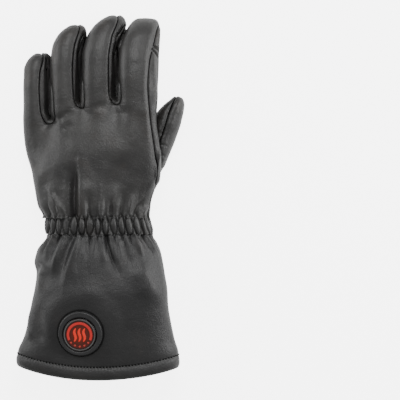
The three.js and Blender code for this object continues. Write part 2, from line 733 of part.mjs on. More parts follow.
// Cuff, widening from the wrist to its mouth; its back falls a little towards the hem
function cuffSection(at) {
  const deep = WRIST_DEPTH + (MOUTH_DEPTH - WRIST_DEPTH) * column(CUFF_SECTIONS, "deep", at);
  const rise = WRIST_RISE * column(CUFF_SECTIONS, "rise", at);
  const drop = BACK_DROP * Math.max(0, (at - 0.45) / 0.55) ** 1.3;
  return {
    y: -WRIST_LENGTH - at * CUFF_LENGTH,
    left: -wristHalf - (MOUTH_WIDTH / 2 - MOUTH_OFFSET - wristHalf) * column(CUFF_SECTIONS, "left", at),
    right: wristHalf + (MOUTH_WIDTH / 2 + MOUTH_OFFSET - wristHalf) * column(CUFF_SECTIONS, "right", at),
    up: deep / 2 - drop,
    down: deep / 2,
    height: rise + deep / 2 - PRESS,
    power: 2.3 + 0.3 * at,
  };
}

const cuffBend = (x) => HEM_SAG * (x / (MOUTH_WIDTH / 2)) ** 2;

function cuffRing(at, inset, y = 0) {
  const section = cuffSection(at);
  const fold = (x, place) => foldHeight(CUFF_FOLDS, x, at, wristHalf, place.up) * (at > 0.95 ? 0 : 1);
  return ring({ ...section, y: section.y + y, bend: (x) => at * cuffBend(x) }, inset, CUFF_POINTS, fold);
}

const cuffAt = [0.003, 0.07, 0.14, 0.23, 0.34, 0.48, 0.66, 0.84, 1];
const cuffOutside = cuffAt.map((at) => cuffRing(at, 0));
const cuffInside = cuffAt.filter((at, i) => i % 2 === 0).map((at) => cuffRing(at, WALL));
const cuffTube = solid(sleeve([...cuffOutside.reverse(), ...cuffInside]));

// The switch stands on the cuff's back, with its own axis up
const seat = cuffSection((SWITCH_BELOW - WRIST_LENGTH) / CUFF_LENGTH);
const switchPlace = new THREE.Matrix4()
  .makeRotationFromEuler(new THREE.Euler(SWITCH_TILT * RADIANS, SWITCH_ROLL * RADIANS, 0))
  .setPosition(SWITCH_ACROSS, -SWITCH_BELOW, seat.height + seat.up - SWITCH_SUNK);

function lathed(profile, segments) {
  const geometry = new THREE.LatheGeometry(profile.map(([r, z]) => new THREE.Vector2(r, z)), segments);
  return solid(geometry.rotateX(Math.PI / 2));
}

function disc(diameter, low, high, segments = ROUND_SEGMENTS) {
  return lathed([[0, low], [diameter / 2, low], [diameter / 2, high], [0, high]], segments);
}

function hoop(diameter, width, low, high) {
  const outer = diameter / 2;
  const inner = outer - width;
  return lathed([[inner, low], [outer, low], [outer, high], [inner, high], [inner, low]], ROUND_SEGMENTS);
}

const placed = (piece) => geometryOf(piece).applyMatrix4(switchPlace);
const offMiddle = (piece) => solid(geometryOf(piece).translate(CAP_ACROSS, CAP_ALONG, 0));

const cuffHole = solid(placed(disc(CUP_DIAMETER + 2 * FIT, -20, 20)));
addPiece("cuff", geometryOf(cuffTube.subtract(cuffHole)), leather);

const cupRadius = CUP_DIAMETER / 2;
const cupBlank = lathed([
  [0, CUP_BOTTOM],
  [cupRadius - 1.5, CUP_BOTTOM],
  [cupRadius, CUP_BOTTOM + 1.5],
  [cupRadius, CUP_TOP * 0.5],
  [cupRadius - 1.6, CUP_TOP],
  [0, CUP_TOP],
], ROUND_SEGMENTS);
const cup = cupBlank.subtract(offMiddle(disc(RECESS_DIAMETER, CUP_FLOOR, CUP_TOP + 1)));
addPiece("button_cup", placed(cup), { color: 0x1c1c1c, roughness: 0.6, metalness: 0 });

// A mark drawn on the cap, from an outline, between two heights
function prism(outline, low, high) {
  const shape = new THREE.Shape(outline);
  const geometry = new THREE.ExtrudeGeometry(shape, { depth: high - low, bevelEnabled: false });
  return solid(geometry.translate(0, 0, low));
}

// The lit ring, open at the bottom
function arcOutline(grow) {
  const steps = 14;
  const outer = GLOW_DIAMETER / 2 + grow;
  const inner = GLOW_DIAMETER / 2 - GLOW_WIDTH - grow;
  const extra = grow / outer / RADIANS;
  const line = (radius, forward) => Array.from({ length: steps + 1 }, (_, i) => {
    const t = forward ? i / steps : 1 - i / steps;
    const turn = (GLOW_FROM - extra + t * (GLOW_TO - GLOW_FROM + 2 * extra)) * RADIANS;
    return new THREE.Vector2(radius * Math.cos(turn), radius * Math.sin(turn));
  });
  return [...line(outer, true), ...line(inner, false)];
}

// An upright wave: a band of even width along one turn of a sine
function waveOutline(middle, grow) {
  const steps = 6;
  const line = (side) => Array.from({ length: steps + 1 }, (_, i) => {
    const t = side > 0 ? i / steps : 1 - i / steps;
    const y = (t - 0.5) * (WAVE_HEIGHT + 2 * grow);
    const turn = 2 * Math.PI * Math.min(Math.max(y / WAVE_HEIGHT, -0.5), 0.5);
    const swing = WAVE_SLANT * y - WAVE_SWING * Math.sin(turn);
    return new THREE.Vector2(middle + swing + side * (WAVE_WIDTH / 2 + grow), y);
  });
  return [...line(1), ...line(-1)];
}

const markLow = CAP_TOP - MARK_DEPTH;
const markHigh = CAP_TOP + MARK_PROUD;
const glowLook = { color: 0xe2392f, roughness: 0.35, metalness: 0 };
const marks = [
  {
    name: "cap_rim",
    look: { color: 0x9a9a9a, roughness: 0.35, metalness: 0 },
    form: (grow, low, high) => hoop(RIM_DIAMETER + 2 * grow, RIM_WIDTH + 2 * grow, low, high),
  },
  {
    name: "glow_ring",
    look: glowLook,
    form: (grow, low, high) => prism(arcOutline(grow), low, high),
  },
  ...["left", "middle", "right"].map((side, i) => ({
    name: `heat_wave_${side}`,
    look: glowLook,
    form: (grow, low, high) => prism(waveOutline((i - 1) * WAVE_PITCH, grow), low, high),
  })),
  ...Array.from({ length: DOTS }, (_, i) => ({
    name: `dot_${i + 1}`,
    look: glowLook,
    form: (grow, low, high) => {
      const turn = (-90 + (i - (DOTS - 1) / 2) * DOT_SPACING) * RADIANS;
      const reach = (GLOW_DIAMETER - GLOW_WIDTH) / 2;
      const dot = geometryOf(disc(DOT_DIAMETER + 2 * grow, low, high, 8));
      return solid(dot.translate(reach * Math.cos(turn), reach * Math.sin(turn), 0));
    },
  })),
];

const capRadius = CAP_DIAMETER / 2;
const cap = lathed([
  [0, CAP_BOTTOM],
  [capRadius, CAP_BOTTOM],
  [capRadius, CAP_TOP - 0.5],
  [capRadius - 0.5, CAP_TOP],
  [0, CAP_TOP],
], ROUND_SEGMENTS);
const pockets = marks.map(({ form }) => form(FIT, markLow - FIT, CAP_TOP + 1));
const pocketed = pockets.reduce((rest, pocket) => rest.subtract(pocket), cap);
addPiece("button_cap", placed(offMiddle(pocketed)), {
  color: 0x0d0d0d,
  roughness: 0.25,
  metalness: 0,
});
for (const { name, look, form } of marks) {
  addPiece(name, placed(offMiddle(form(0, markLow, markHigh))), look);
}

// Hem: a padded band round the mouth, sewn to the cuff along its inner edge
const hemProfile = [
  { along: 0, inset: WALL },
  { along: 0.9, inset: HEM_WALL },
  { along: 1, inset: 0.8 },
  { along: 0.9, inset: -0.7 },
  { along: 0.5, inset: -1.4 },
  { along: 0.12, inset: -0.8 },
  { along: 0, inset: 0.6 },
];
const hemRings = hemProfile.map(({ along, inset }) => cuffRing(1, inset, -along * HEM_LENGTH - SEAM_GAP));
addPiece("hem", sleeve(hemRings), leather);

// The glove's footprint is centred on the origin
const box = new THREE.Box3();
for (const mesh of glove.children) {
  mesh.geometry.computeBoundingBox();
  box.union(mesh.geometry.boundingBox);
}
const centre = box.getCenter(new THREE.Vector3());
for (const mesh of glove.children) mesh.geometry.translate(-centre.x, -centre.y, -box.min.z);

export default glove;
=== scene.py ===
import json
import bpy
import numpy as np
from mathutils import Euler, Matrix, Vector
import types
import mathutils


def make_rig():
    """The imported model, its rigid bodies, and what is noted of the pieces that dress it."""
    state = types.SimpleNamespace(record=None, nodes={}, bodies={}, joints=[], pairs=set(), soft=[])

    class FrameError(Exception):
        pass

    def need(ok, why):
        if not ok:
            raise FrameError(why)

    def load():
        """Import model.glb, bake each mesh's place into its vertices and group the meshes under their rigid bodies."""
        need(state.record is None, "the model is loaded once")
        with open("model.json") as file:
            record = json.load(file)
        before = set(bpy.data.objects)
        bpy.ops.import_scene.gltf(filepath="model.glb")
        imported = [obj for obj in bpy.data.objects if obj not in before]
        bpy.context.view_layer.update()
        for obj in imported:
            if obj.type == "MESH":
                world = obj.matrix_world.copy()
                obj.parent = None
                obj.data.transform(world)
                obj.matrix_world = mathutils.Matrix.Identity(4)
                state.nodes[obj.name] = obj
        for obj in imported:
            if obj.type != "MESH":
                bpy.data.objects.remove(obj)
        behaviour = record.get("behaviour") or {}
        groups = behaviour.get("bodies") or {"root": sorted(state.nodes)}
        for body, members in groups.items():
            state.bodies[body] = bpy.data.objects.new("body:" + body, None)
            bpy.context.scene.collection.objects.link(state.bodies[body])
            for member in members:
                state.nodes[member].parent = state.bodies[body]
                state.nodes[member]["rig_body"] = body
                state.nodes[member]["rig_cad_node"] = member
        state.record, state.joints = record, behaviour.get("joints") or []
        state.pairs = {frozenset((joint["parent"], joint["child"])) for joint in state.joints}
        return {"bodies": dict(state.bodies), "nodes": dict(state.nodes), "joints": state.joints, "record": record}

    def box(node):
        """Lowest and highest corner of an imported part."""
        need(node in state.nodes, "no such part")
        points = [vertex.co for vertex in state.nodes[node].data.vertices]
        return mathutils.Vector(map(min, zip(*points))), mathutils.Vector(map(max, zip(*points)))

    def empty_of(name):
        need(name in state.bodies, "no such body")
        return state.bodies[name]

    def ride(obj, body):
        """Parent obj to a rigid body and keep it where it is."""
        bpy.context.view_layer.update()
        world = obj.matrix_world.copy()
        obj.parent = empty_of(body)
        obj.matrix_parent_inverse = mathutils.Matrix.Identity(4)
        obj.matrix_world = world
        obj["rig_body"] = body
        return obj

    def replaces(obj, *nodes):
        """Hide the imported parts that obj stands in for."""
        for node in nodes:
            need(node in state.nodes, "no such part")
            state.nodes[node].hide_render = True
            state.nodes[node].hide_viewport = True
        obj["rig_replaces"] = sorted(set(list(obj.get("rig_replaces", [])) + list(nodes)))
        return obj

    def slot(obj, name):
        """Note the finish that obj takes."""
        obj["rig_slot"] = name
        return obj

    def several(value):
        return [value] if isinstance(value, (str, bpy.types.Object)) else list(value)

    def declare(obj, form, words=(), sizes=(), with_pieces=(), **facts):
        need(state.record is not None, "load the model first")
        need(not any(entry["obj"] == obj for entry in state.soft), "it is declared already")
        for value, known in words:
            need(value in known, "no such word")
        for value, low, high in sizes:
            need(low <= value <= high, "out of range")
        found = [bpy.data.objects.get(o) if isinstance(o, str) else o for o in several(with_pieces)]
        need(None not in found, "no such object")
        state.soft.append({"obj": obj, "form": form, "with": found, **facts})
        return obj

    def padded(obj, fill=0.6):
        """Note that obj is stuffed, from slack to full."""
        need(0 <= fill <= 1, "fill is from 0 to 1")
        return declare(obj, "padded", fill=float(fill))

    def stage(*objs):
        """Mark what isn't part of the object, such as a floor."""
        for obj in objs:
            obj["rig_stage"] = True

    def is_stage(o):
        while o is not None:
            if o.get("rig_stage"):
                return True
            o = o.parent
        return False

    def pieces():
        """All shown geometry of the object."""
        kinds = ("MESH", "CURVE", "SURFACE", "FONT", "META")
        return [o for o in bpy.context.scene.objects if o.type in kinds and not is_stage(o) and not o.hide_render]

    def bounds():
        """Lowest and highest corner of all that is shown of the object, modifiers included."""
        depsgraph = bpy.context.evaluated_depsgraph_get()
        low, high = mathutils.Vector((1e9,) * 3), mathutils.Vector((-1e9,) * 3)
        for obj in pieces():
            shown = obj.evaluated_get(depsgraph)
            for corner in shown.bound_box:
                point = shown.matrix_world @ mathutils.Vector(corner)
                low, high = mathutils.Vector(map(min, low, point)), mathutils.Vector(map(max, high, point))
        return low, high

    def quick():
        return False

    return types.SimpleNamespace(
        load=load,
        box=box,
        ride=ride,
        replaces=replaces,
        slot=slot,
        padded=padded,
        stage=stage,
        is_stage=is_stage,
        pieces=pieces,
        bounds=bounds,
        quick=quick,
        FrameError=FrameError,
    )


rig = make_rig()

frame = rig.load()


def write_bounds(key):
    """Notes the object's box, before the soft pieces are made or after"""
    path = "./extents.json"
    sizes = {} if key == "cad" else json.load(open(path))
    low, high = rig.bounds()
    sizes[key] = {"low": list(low), "high": list(high)}
    json.dump(sizes, open(path, "w"))


write_bounds("cad")

# Hand: the back, the palm and the three fourchettes between the fingers. Padded leather, sewn inside out,
# so each seam is a sunk line with the leather swelling up beside it. The form is a field of distances,
# hand and fingers melted together at the knuckles, which is then parted along its seams.

MM = 0.001
STEP = 1.5 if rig.quick() else 0.75
SEAM_GAP = 0.4
wrist_low, wrist_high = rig.box("wrist")
# The wrist's middle and its upper elastic row are the zero of every table here, in millimetres
ORIGIN = Vector(((wrist_low[0] + wrist_high[0]) / 2, wrist_high[1] + SEAM_GAP / 2 * MM, 0))

WALL = 3.0
HAND_LENGTH = 98.0
HAND_WIDTH = 119.0
HAND_DEPTH = 36.0
# The hand's middle lies this far from the wrist's, less than 0 to the little finger's side
HAND_OFFSET = -5.0
WRIST_HALF = 46.0
WRIST_DEPTH = 44.0
# Height of a fingertip's middle when it lies on the floor, share of the finger's depth
FINGER_REST = 0.42

# across: root's middle, share of half the hand's width; crotch: share of the hand's length; lean: to
# the thumb's side for each millimetre of length; blunt: how far the tip is a blunt one; swing: how far
# the tip turns to the thumb's side
FINGERS = (
    dict(name="little", length=64.6, width=27.0, depth=22.0, height=12.4, across=-0.914, crotch=0.835,
         lean=0.005, blunt=0.25, swing=0.55),
    dict(name="ring", length=79.2, width=29.8, depth=25.0, height=16.5, across=-0.452, crotch=0.943,
         lean=0.01, blunt=0.0, swing=1.0),
    dict(name="middle", length=82.4, width=33.2, depth=27.0, height=21.5, across=0.05, crotch=0.997,
         lean=0.055, blunt=0.0, swing=1.0),
    dict(name="index", length=78.4, width=31.8, depth=27.0, height=26.5, across=0.605, crotch=1.012,
         lean=0.035, blunt=1.0, swing=0.45),
)
# at: share of the finger's length; half and deep: shares of half the width and depth, for a pointed and
# a blunt tip; shift: share of half the width; drop: share of the way down to where the tip rests
FINGER_ROWS = dict(
    at=(-0.46, -0.12, 0.12, 0.5, 0.75, 0.86, 0.92, 0.96, 0.99, 1.0),
    half=(0.9, 0.96, 1.0, 1.01, 0.985, 0.885, 0.73, 0.54, 0.29, 0.02),
    blunt=(0.9, 0.96, 1.0, 1.0, 1.0, 0.93, 0.83, 0.7, 0.46, 0.02),
    deep=(1.12, 1.12, 1.08, 1.0, 0.95, 0.84, 0.7, 0.52, 0.28, 0.02),
    shift=(0.0, 0.0, 0.0, 0.0, 0.04, 0.16, 0.26, 0.34, 0.38, 0.4),
    drop=(-0.1, 0.0, 0.0, 0.1, 0.42, 0.64, 0.78, 0.88, 0.96, 1.0),
)
# at: share of the hand's length; left and right: shares of the way from the wrist's edge to the hand's;
# deep: the same for the depth; rise: the underside's height, share of the depth; roll: degrees
HAND_ROWS = dict(
    at=(0.0, 0.1, 0.22, 0.34, 0.5, 0.68, 0.84, 0.93, 1.0),
    left=(0.16, 0.42, 0.56, 0.67, 0.81, 0.96, 1.04, 1.04, 0.98),
    right=(-0.19, -0.02, 0.34, 0.97, 1.1, 1.02, 0.9, 0.8, 0.7),
    deep=(0.3, 0.15, 0.1, 0.25, 0.5, 0.8, 1.05, 1.5, 2.3),
    rise=(0.06, 0.04, 0.02, 0.03, 0.06, 0.1, 0.13, 0.19, 0.28),
    roll=(0.0, 0.5, 1.5, 3.0, 5.0, 7.0, 8.0, 8.5, 9.0),
)


def column(rows, key, at):
    """Smooth curve through one column of a table, monotone between its rows"""
    t = np.asarray(rows["at"], float)
    v = np.asarray(rows[key], float)
    slope = np.diff(v) / np.diff(t)
    steep = np.zeros(len(t))
    steep = np.zeros(len(t))
    product = slope[:-1] * slope[1:]
    both = np.where(product > 0, slope[:-1] + slope[1:], 1)
    steep[1:-1] = np.where(product > 0, 2 * product / both, 0)
    at = np.clip(at, t[0], t[-1])
    i = np.clip(np.searchsorted(t, at) - 1, 0, len(t) - 2)
    span = t[i + 1] - t[i]
    s = (at - t[i]) / span
    rise = v[i + 1] - v[i]
    a = steep[i] * span - rise
    b = rise - steep[i + 1] * span
    return v[i] + rise * s + s * (1 - s) * (a * (1 - s) + b * s)


def smooth(low, high, value):
    """0 below low, 1 above high, and an even S between them"""
    t = np.clip((value - low) / (high - low), 0, 1)
    return t * t * (3 - 2 * t)


def finger_x(finger, at):
    lean = finger["lean"] * at * finger["length"]
    shift = column(FINGER_ROWS, "shift", at) * finger["swing"] * finger["width"] / 2
    return finger["across"] * HAND_WIDTH / 2 + lean + shift


def finger_y(finger):
    return finger["crotch"] * HAND_LENGTH


def finger_share(finger, y):
    return (y - finger_y(finger)) / finger["length"]


def finger_at(finger, y):
    return np.clip(finger_share(finger, y), -0.3, 1)


def finger_half(finger, at):
    sharp = column(FINGER_ROWS, "half", at)
    blunt = column(FINGER_ROWS, "blunt", at)
    return finger["width"] / 2 * (sharp + (blunt - sharp) * finger["blunt"])


def finger_height(finger, at):
    rest = finger["depth"] * FINGER_REST
    return finger["height"] + (rest - finger["height"]) * column(FINGER_ROWS, "drop", at)


def crotch_line(x):
    xs = [f["across"] * HAND_WIDTH / 2 for f in FINGERS]
    return column(dict(at=xs, y=[finger_y(f) for f in FINGERS]), "y", x)


def oval(x, z, half, deep, power, roll, bevel=0.0):
    """Distance from a rolled, rounded section at each place, less than 0 inside; bevel takes off its
    upper edge on the thumb's side"""
    c, s = np.cos(np.radians(roll)), np.sin(np.radians(roll))
    u = (x * c + z * s) / half
    rise = z * c - x * s
    v = rise / np.where(rise > 0, deep * (1 - bevel * smooth(0.15, 1.0, u)), deep)
    f = (np.abs(u) ** power + np.abs(v) ** power) ** (1 / power)
    steep = np.hypot(np.abs(u) ** (power - 1) / half, np.abs(v) ** (power - 1) / deep)
    return (f - 1) / np.maximum(steep / np.maximum(f, 1e-6) ** (power - 1), 1e-3)


def melt(a, b, reach):
    """Union of two fields, filled out where they meet"""
    near = np.maximum(reach - np.abs(a - b), 0) / reach
    return np.minimum(a, b) - near * near * reach / 4


def hand_section(at):
    depth = WRIST_DEPTH + (HAND_DEPTH - WRIST_DEPTH) * column(HAND_ROWS, "deep", at)
    reach_left = HAND_OFFSET - HAND_WIDTH / 2 + WRIST_HALF
    reach_right = HAND_OFFSET + HAND_WIDTH / 2 - WRIST_HALF
    left = -WRIST_HALF + reach_left * column(HAND_ROWS, "left", at)
    right = WRIST_HALF + reach_right * column(HAND_ROWS, "right", at)
    height = column(HAND_ROWS, "rise", at) * HAND_DEPTH + depth / 2
    return left, right, depth, height, column(HAND_ROWS, "roll", at)


HAND_POWER = 2.35
# The hand's rows end at this share of its length, under the fingers
HAND_END = 1.1


def hand_field(x, y, z):
    share = smooth(0.35, 0.85, y / HAND_LENGTH) * (crotch_line(x) - HAND_LENGTH)
    at = (y - share) / HAND_LENGTH
    left, right, depth, height, roll = hand_section(np.clip(at, 0, 1))
    body = oval(x - (left + right) / 2, z - height, (right - left) / 2, depth / 2, HAND_POWER, roll)
    return np.maximum(body, (at - HAND_END) * HAND_LENGTH)


FINGER_POWER = 2.4
FINGER_ROLL = -12.0
FINGER_BEVEL = 0.24
# Where a finger's form begins, share of its length, under the back of the hand
FINGER_START = -0.46
FINGER_GAP = 0.6
# Reach of the filling between two fingers: where they touch, and at their crotch
TOUCH_MELT = 8.0
WEB_MELT = 14.0
# A bridge between two fingers is kept this far inside them where they don't touch
BRIDGE_SUNK = 9.0
# The slit between two fingers is shut by this much before their crotch and below their waist
SLIT_SHUT = 12.0
# How far before the crotches the hand's form starts to pass into that of the fingers
KNUCKLES = 46.0
# The creases between two fingers start this far beyond the crotch, run down from this far below the
# finger's back, fall so much for each millimetre, and have edges rounded this far
CREASE_START = -1.5
CREASE_DEPTH = 2.5
CREASE_FALL = 2.0
CREASE_EDGE = 2.2
# end: share of the finger's length; wide: half width; off: how far its root lies to the little finger's
# side of their middle plane; lift: how much further to the tips than between the two roots it starts; over:
# how far the finger on the thumb's side bulges over it; seam and web: how far the seam on its other side,
# and its end, are moved to the thumb's side
CREASES = (
    dict(end=0.74, wide=1.15, off=0.4, lift=0.0, over=2.2, seam=-1.9, web=-3.4),
    dict(end=0.78, wide=1.3, off=-1.6, lift=5.2, over=3.8, seam=0.0, web=-1.6),
    dict(end=0.78, wide=1.9, off=-2.2, lift=5.2, over=4.8, seam=0.0, web=-3.6),
)


def crease_root(i):
    return (finger_y(FINGERS[i]) + finger_y(FINGERS[i + 1])) / 2 + CREASES[i]["lift"]


def overlap(i, at):
    """How far a finger bulges over the crease on its other side, at shares of its length"""
    return (CREASES[i - 1]["over"] if i else 0) * smooth(-0.12, 0.02, at) * (1 - smooth(0.55, 0.93, at))


def finger_field(i, x, y, z):
    finger = FINGERS[i]
    at = finger_share(finger, y)
    flat = np.clip(at, FINGER_START, 1)
    over = overlap(i, flat)
    half = finger_half(finger, flat) + over / 2
    deep = finger["depth"] / 2 * column(FINGER_ROWS, "deep", flat)
    turned = smooth(-0.1, 0.25, at)
    tube = oval(x - finger_x(finger, flat) + over / 2, z - finger_height(finger, flat), half, deep,
                FINGER_POWER, FINGER_ROLL * turned, FINGER_BEVEL * turned)
    return np.maximum(tube, (at - 1) * finger["length"])


def glove_field(x, y, z):
    """Distance from the hand and fingers, the fingers pressed against each other beyond the crotches"""
    digits = [finger_field(i, x, y, z) for i in range(len(FINGERS))]
    cut = list(digits)
    trough, bridges = 0, []
    for i, crease in enumerate(CREASES):
        left, right = FINGERS[i], FINGERS[i + 1]
        root = crease_root(i)
        waist = (finger_height(left, finger_at(left, y)) + finger_height(right, finger_at(right, y))) / 2
        low = 1 - smooth(waist - 1.5, waist + 1.0, z)
        slit = FINGER_GAP / 2 - SLIT_SHUT * np.maximum(1 - smooth(-5, 2, y - root), low)
        between = (digits[i] - digits[i + 1] + overlap(i + 1, finger_at(right, y))) / 2
        cut[i] = np.maximum(cut[i], between + slit)
        cut[i + 1] = np.maximum(cut[i + 1], slit - between)
        # At their waists the fingers are pressed together without a gap
        touch = smooth(-7, -4, z - waist) * (1 - smooth(-0.5, 1.5, z - waist))
        touch = touch * smooth(-8, 0, y - root) * (1 - smooth(0.7, 0.9, finger_share(left, y)))
        bridges.append(melt(digits[i], digits[i + 1], 0.5 + TOUCH_MELT * touch) + BRIDGE_SUNK * (1 - touch))
        start = root + CREASE_START
        end = finger_y(left) + crease["end"] * left["length"]
        wide = crease["wide"] * (0.35 + 0.65 * smooth(0, 9, y - start)) * (1 - smooth(-14, 0, y - end))
        floor = left["height"] + left["depth"] / 2 - CREASE_DEPTH - CREASE_FALL * (y - start)
        off = crease["off"] * (1 - 0.6 * smooth(start, end, y))
        blade = np.maximum(np.abs(between + off) - wide, start - y)
        blade = np.maximum(np.maximum(blade, y - end), np.maximum(floor, waist + 0.5) - z)
        trough = blade if i == 0 else np.minimum(trough, blade)
    fingers = cut[0]
    for i, digit in enumerate(cut[1:]):
        fingers = melt(fingers, digit, 0.8 + WEB_MELT * (1 - smooth(-12, 6, y - crease_root(i))))
    for bridge in bridges:
        fingers = np.minimum(fingers, bridge)
    passed = smooth(-KNUCKLES, -1, y - crotch_line(x))
    field = hand_field(x, y, z) * (1 - passed) + fingers * passed
    return -melt(-field, trough, CREASE_EDGE)


def surface(function, low, high, step):
    """Quad surface where a field is 0, from its values on a grid between two corners"""
    x, y, z = (np.arange(a, b + step, step) for a, b in zip(low, high))
    field = function(x[:, None, None], y[None, :, None], z[None, None, :])
    inside = field < 0
    shape = np.array(field.shape) - 1
    count = sum(inside[i:i + shape[0], j:j + shape[1], k:k + shape[2]].astype(np.int8)
                for i in (0, 1) for j in (0, 1) for k in (0, 1))
    mixed = (count > 0) & (count < 8)
    cells = np.argwhere(mixed)
    index = np.full(mixed.shape, -1)
    index[mixed] = np.arange(len(cells))
    total, hits = np.zeros((len(cells), 3)), np.zeros(len(cells))
    turns = [[np.eye(3, dtype=int)[(axis + n) % 3] for n in range(3)] for axis in range(3)]
    for along, b, c in turns:
        for corner in (0 * b, b, c, b + c):
            start = cells + corner
            f0, f1 = field[tuple(start.T)], field[tuple((start + along).T)]
            cross = (f0 < 0) != (f1 < 0)
            t = f0[cross] / (f0[cross] - f1[cross])
            total[cross] += start[cross] + t[:, None] * along
            hits[cross] += 1
    points = total / hits[:, None] * step + np.array(low)
    quads = []
    for along, b, c in turns:
        size = np.array(field.shape) - along
        near = inside[:size[0], :size[1], :size[2]]
        far = inside[along[0]:, along[1]:, along[2]:]
        spots = np.argwhere(near != far)
        spots = spots[np.all((spots >= b + c) & (spots < shape), axis=1)]
        ring = np.stack([index[tuple((spots - d).T)] for d in (b + c, c, 0 * b, b)], axis=1)
        out = near[tuple(spots.T)]
        quads.append(np.where(out[:, None], ring, ring[:, ::-1]))
    return points, np.concatenate(quads)


def edges_of(quads):
    pairs = np.concatenate([quads[:, [i, (i + 1) % 4]] for i in range(4)])
    return np.unique(np.sort(pairs, axis=1), axis=0)


# Each round of smoothing goes in, then partly out again, so that the form hardly shrinks
RELAX_STEPS = (0.5, -0.52)


def relax(points, edges, rounds):
    degree = np.bincount(edges.ravel(), minlength=len(points))[:, None]
    for step in RELAX_STEPS * rounds:
        total = [np.bincount(edges[:, 0], points[edges[:, 1], k], len(points))
                 + np.bincount(edges[:, 1], points[edges[:, 0], k], len(points)) for k in range(3)]
        points = points + step * (np.stack(total, axis=1) / np.maximum(degree, 1) - points)
    return points


def normals_of(points, quads):
    a, b, c, d = (points[quads[:, k]] for k in range(4))
    cross = np.cross(c - a, d - b)
    total = [np.bincount(quads.ravel(), np.repeat(cross[:, k], 4), len(points)) for k in range(3)]
    total = np.stack(total, axis=1)
    return total / np.maximum(np.linalg.norm(total, axis=1, keepdims=True), 1e-9)


def skin_of(field, low, high):
    """Places, faces and normals of leather where a field, cut off at the floor, is 0"""
    points, quads = surface(lambda x, y, z: np.maximum(field(x, y, z), -z), low, high, STEP)
    points = relax(points, edges_of(quads), 3 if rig.quick() else 5)
    return points, quads, normals_of(points, quads)


HAND_LOW = (-71.0, -2.2, -1.5)
HAND_HIGH = (61.0, 184.0, 47.0)
skin, skin_quads, skin_normals = skin_of(glove_field, HAND_LOW, HAND_HIGH)

# Seams. at: share of the finger's length; near and far: shares of half the finger's width from its
# middle, on the thumb's side and on the other
SEAM_ROWS = dict(
    at=(-0.08, 0.02, 0.12, 0.3, 0.5, 0.7, 0.82, 0.92, 1.0),
    near=(0.66, 0.54, 0.42, 0.31, 0.26, 0.29, 0.38, 0.46, 0.48),
    far=(-0.76, -0.76, -0.8, -0.95, -1.15, -1.2, -1.2, -1.2, -1.2),
)
# x: the seam up the index finger's side, share of half the hand's width; at: share of the hand's length
GUSSET_ROWS = dict(
    at=(0.3, 0.45, 0.65, 0.85, 1.0, 1.2, 1.4, 1.55, 1.7, 1.8),
    x=(0.86, 0.87, 0.835, 0.79, 0.765, 0.745, 0.775, 0.83, 0.88, 0.93),
)
WEB_REACH = 4.5
PALM_SEAM = 0.42
OUTER_SEAM = 0.25
# Distance given where no seam is near
SEAMLESS = 9.0


def distance_to(function, step=0.4):
    """Millimetres along the hand's surface from the line where a function is 0"""
    value = function(skin)
    slopes = np.stack([(function(skin + step * d) - value) / step for d in np.eye(3)], axis=1)
    along = slopes - np.sum(slopes * skin_normals, axis=1, keepdims=True) * skin_normals
    return value / np.maximum(np.linalg.norm(along, axis=1), 0.2)


def fourchette(i, p):
    """Less than 0 where the fourchette between two fingers lies"""
    left, right = FINGERS[i], FINGERS[i + 1]
    x, y, z = p.T
    end = crease_root(i) - WEB_REACH
    seam_shift = CREASES[i]["seam"]
    at_l, at_r = finger_at(left, y), finger_at(right, y)
    seam_l = finger_x(left, at_l) + finger_half(left, at_l) * column(SEAM_ROWS, "near", at_l) + seam_shift
    seam_r = finger_x(right, at_r) + finger_half(right, at_r) * column(SEAM_ROWS, "far", at_r)
    seam_r = seam_r - overlap(i + 1, at_r)
    seam_r = seam_r + 1.2 * np.maximum(finger_height(right, at_r) + 0.5 - z, 0)
    web = (left["across"] + right["across"]) * HAND_WIDTH / 4 + (left["width"] - right["width"]) / 4
    web = web + CREASES[i]["web"]
    wide = np.sqrt(1 - (1 - np.clip((y - end) / (2.2 * WEB_REACH), 0, 1)) ** 2)
    low_l = finger_height(left, at_l) - PALM_SEAM * left["depth"] / 2
    low_r = finger_height(right, at_r) - PALM_SEAM * right["depth"] / 2
    mix = np.clip((x - seam_l) / np.maximum(seam_r - seam_l, 1), 0, 1)
    sides = [web + (seam_l - web) * wide - x, x - web - (seam_r - web) * wide]
    return np.max([*sides, low_l + (low_r - low_l) * mix - z, end - y], axis=0)


def palm_seam(p):
    """Less than 0 where the palm's leather lies: below the side seams and round the index finger's side"""
    x, y, z = p.T
    at = np.clip(y / HAND_LENGTH, 0, 1)
    left, right, depth, height, roll = hand_section(at)
    roots = np.array([f["across"] * HAND_WIDTH / 2 for f in FINGERS])
    middles = np.stack([finger_height(f, finger_at(f, y)) for f in FINGERS])
    middles[0] -= OUTER_SEAM * FINGERS[0]["depth"] / 2
    k = np.clip(np.searchsorted(roots, x) - 1, 0, 2)
    t = np.clip((x - roots[k]) / (roots[k + 1] - roots[k]), 0, 1)
    each = np.arange(len(x))
    fingers = middles[k, each] * (1 - t) + middles[k + 1, each] * t
    hand = height + np.tan(np.radians(roll)) * x - OUTER_SEAM * depth / 2 * smooth(20, -20, x)
    blend = smooth(0.8, 1.0, y / HAND_LENGTH)
    gusset = column(GUSSET_ROWS, "x", y / HAND_LENGTH) * HAND_WIDTH / 2
    return np.minimum(z - hand * (1 - blend) - fingers * blend, gusset - x)


seam_f = np.min([distance_to(lambda p, i=i: fourchette(i, p)) for i in range(len(CREASES))], axis=0)
seam_p = np.where(seam_f > 0, distance_to(palm_seam), SEAMLESS)
seam = np.minimum(np.abs(seam_f), np.abs(seam_p))

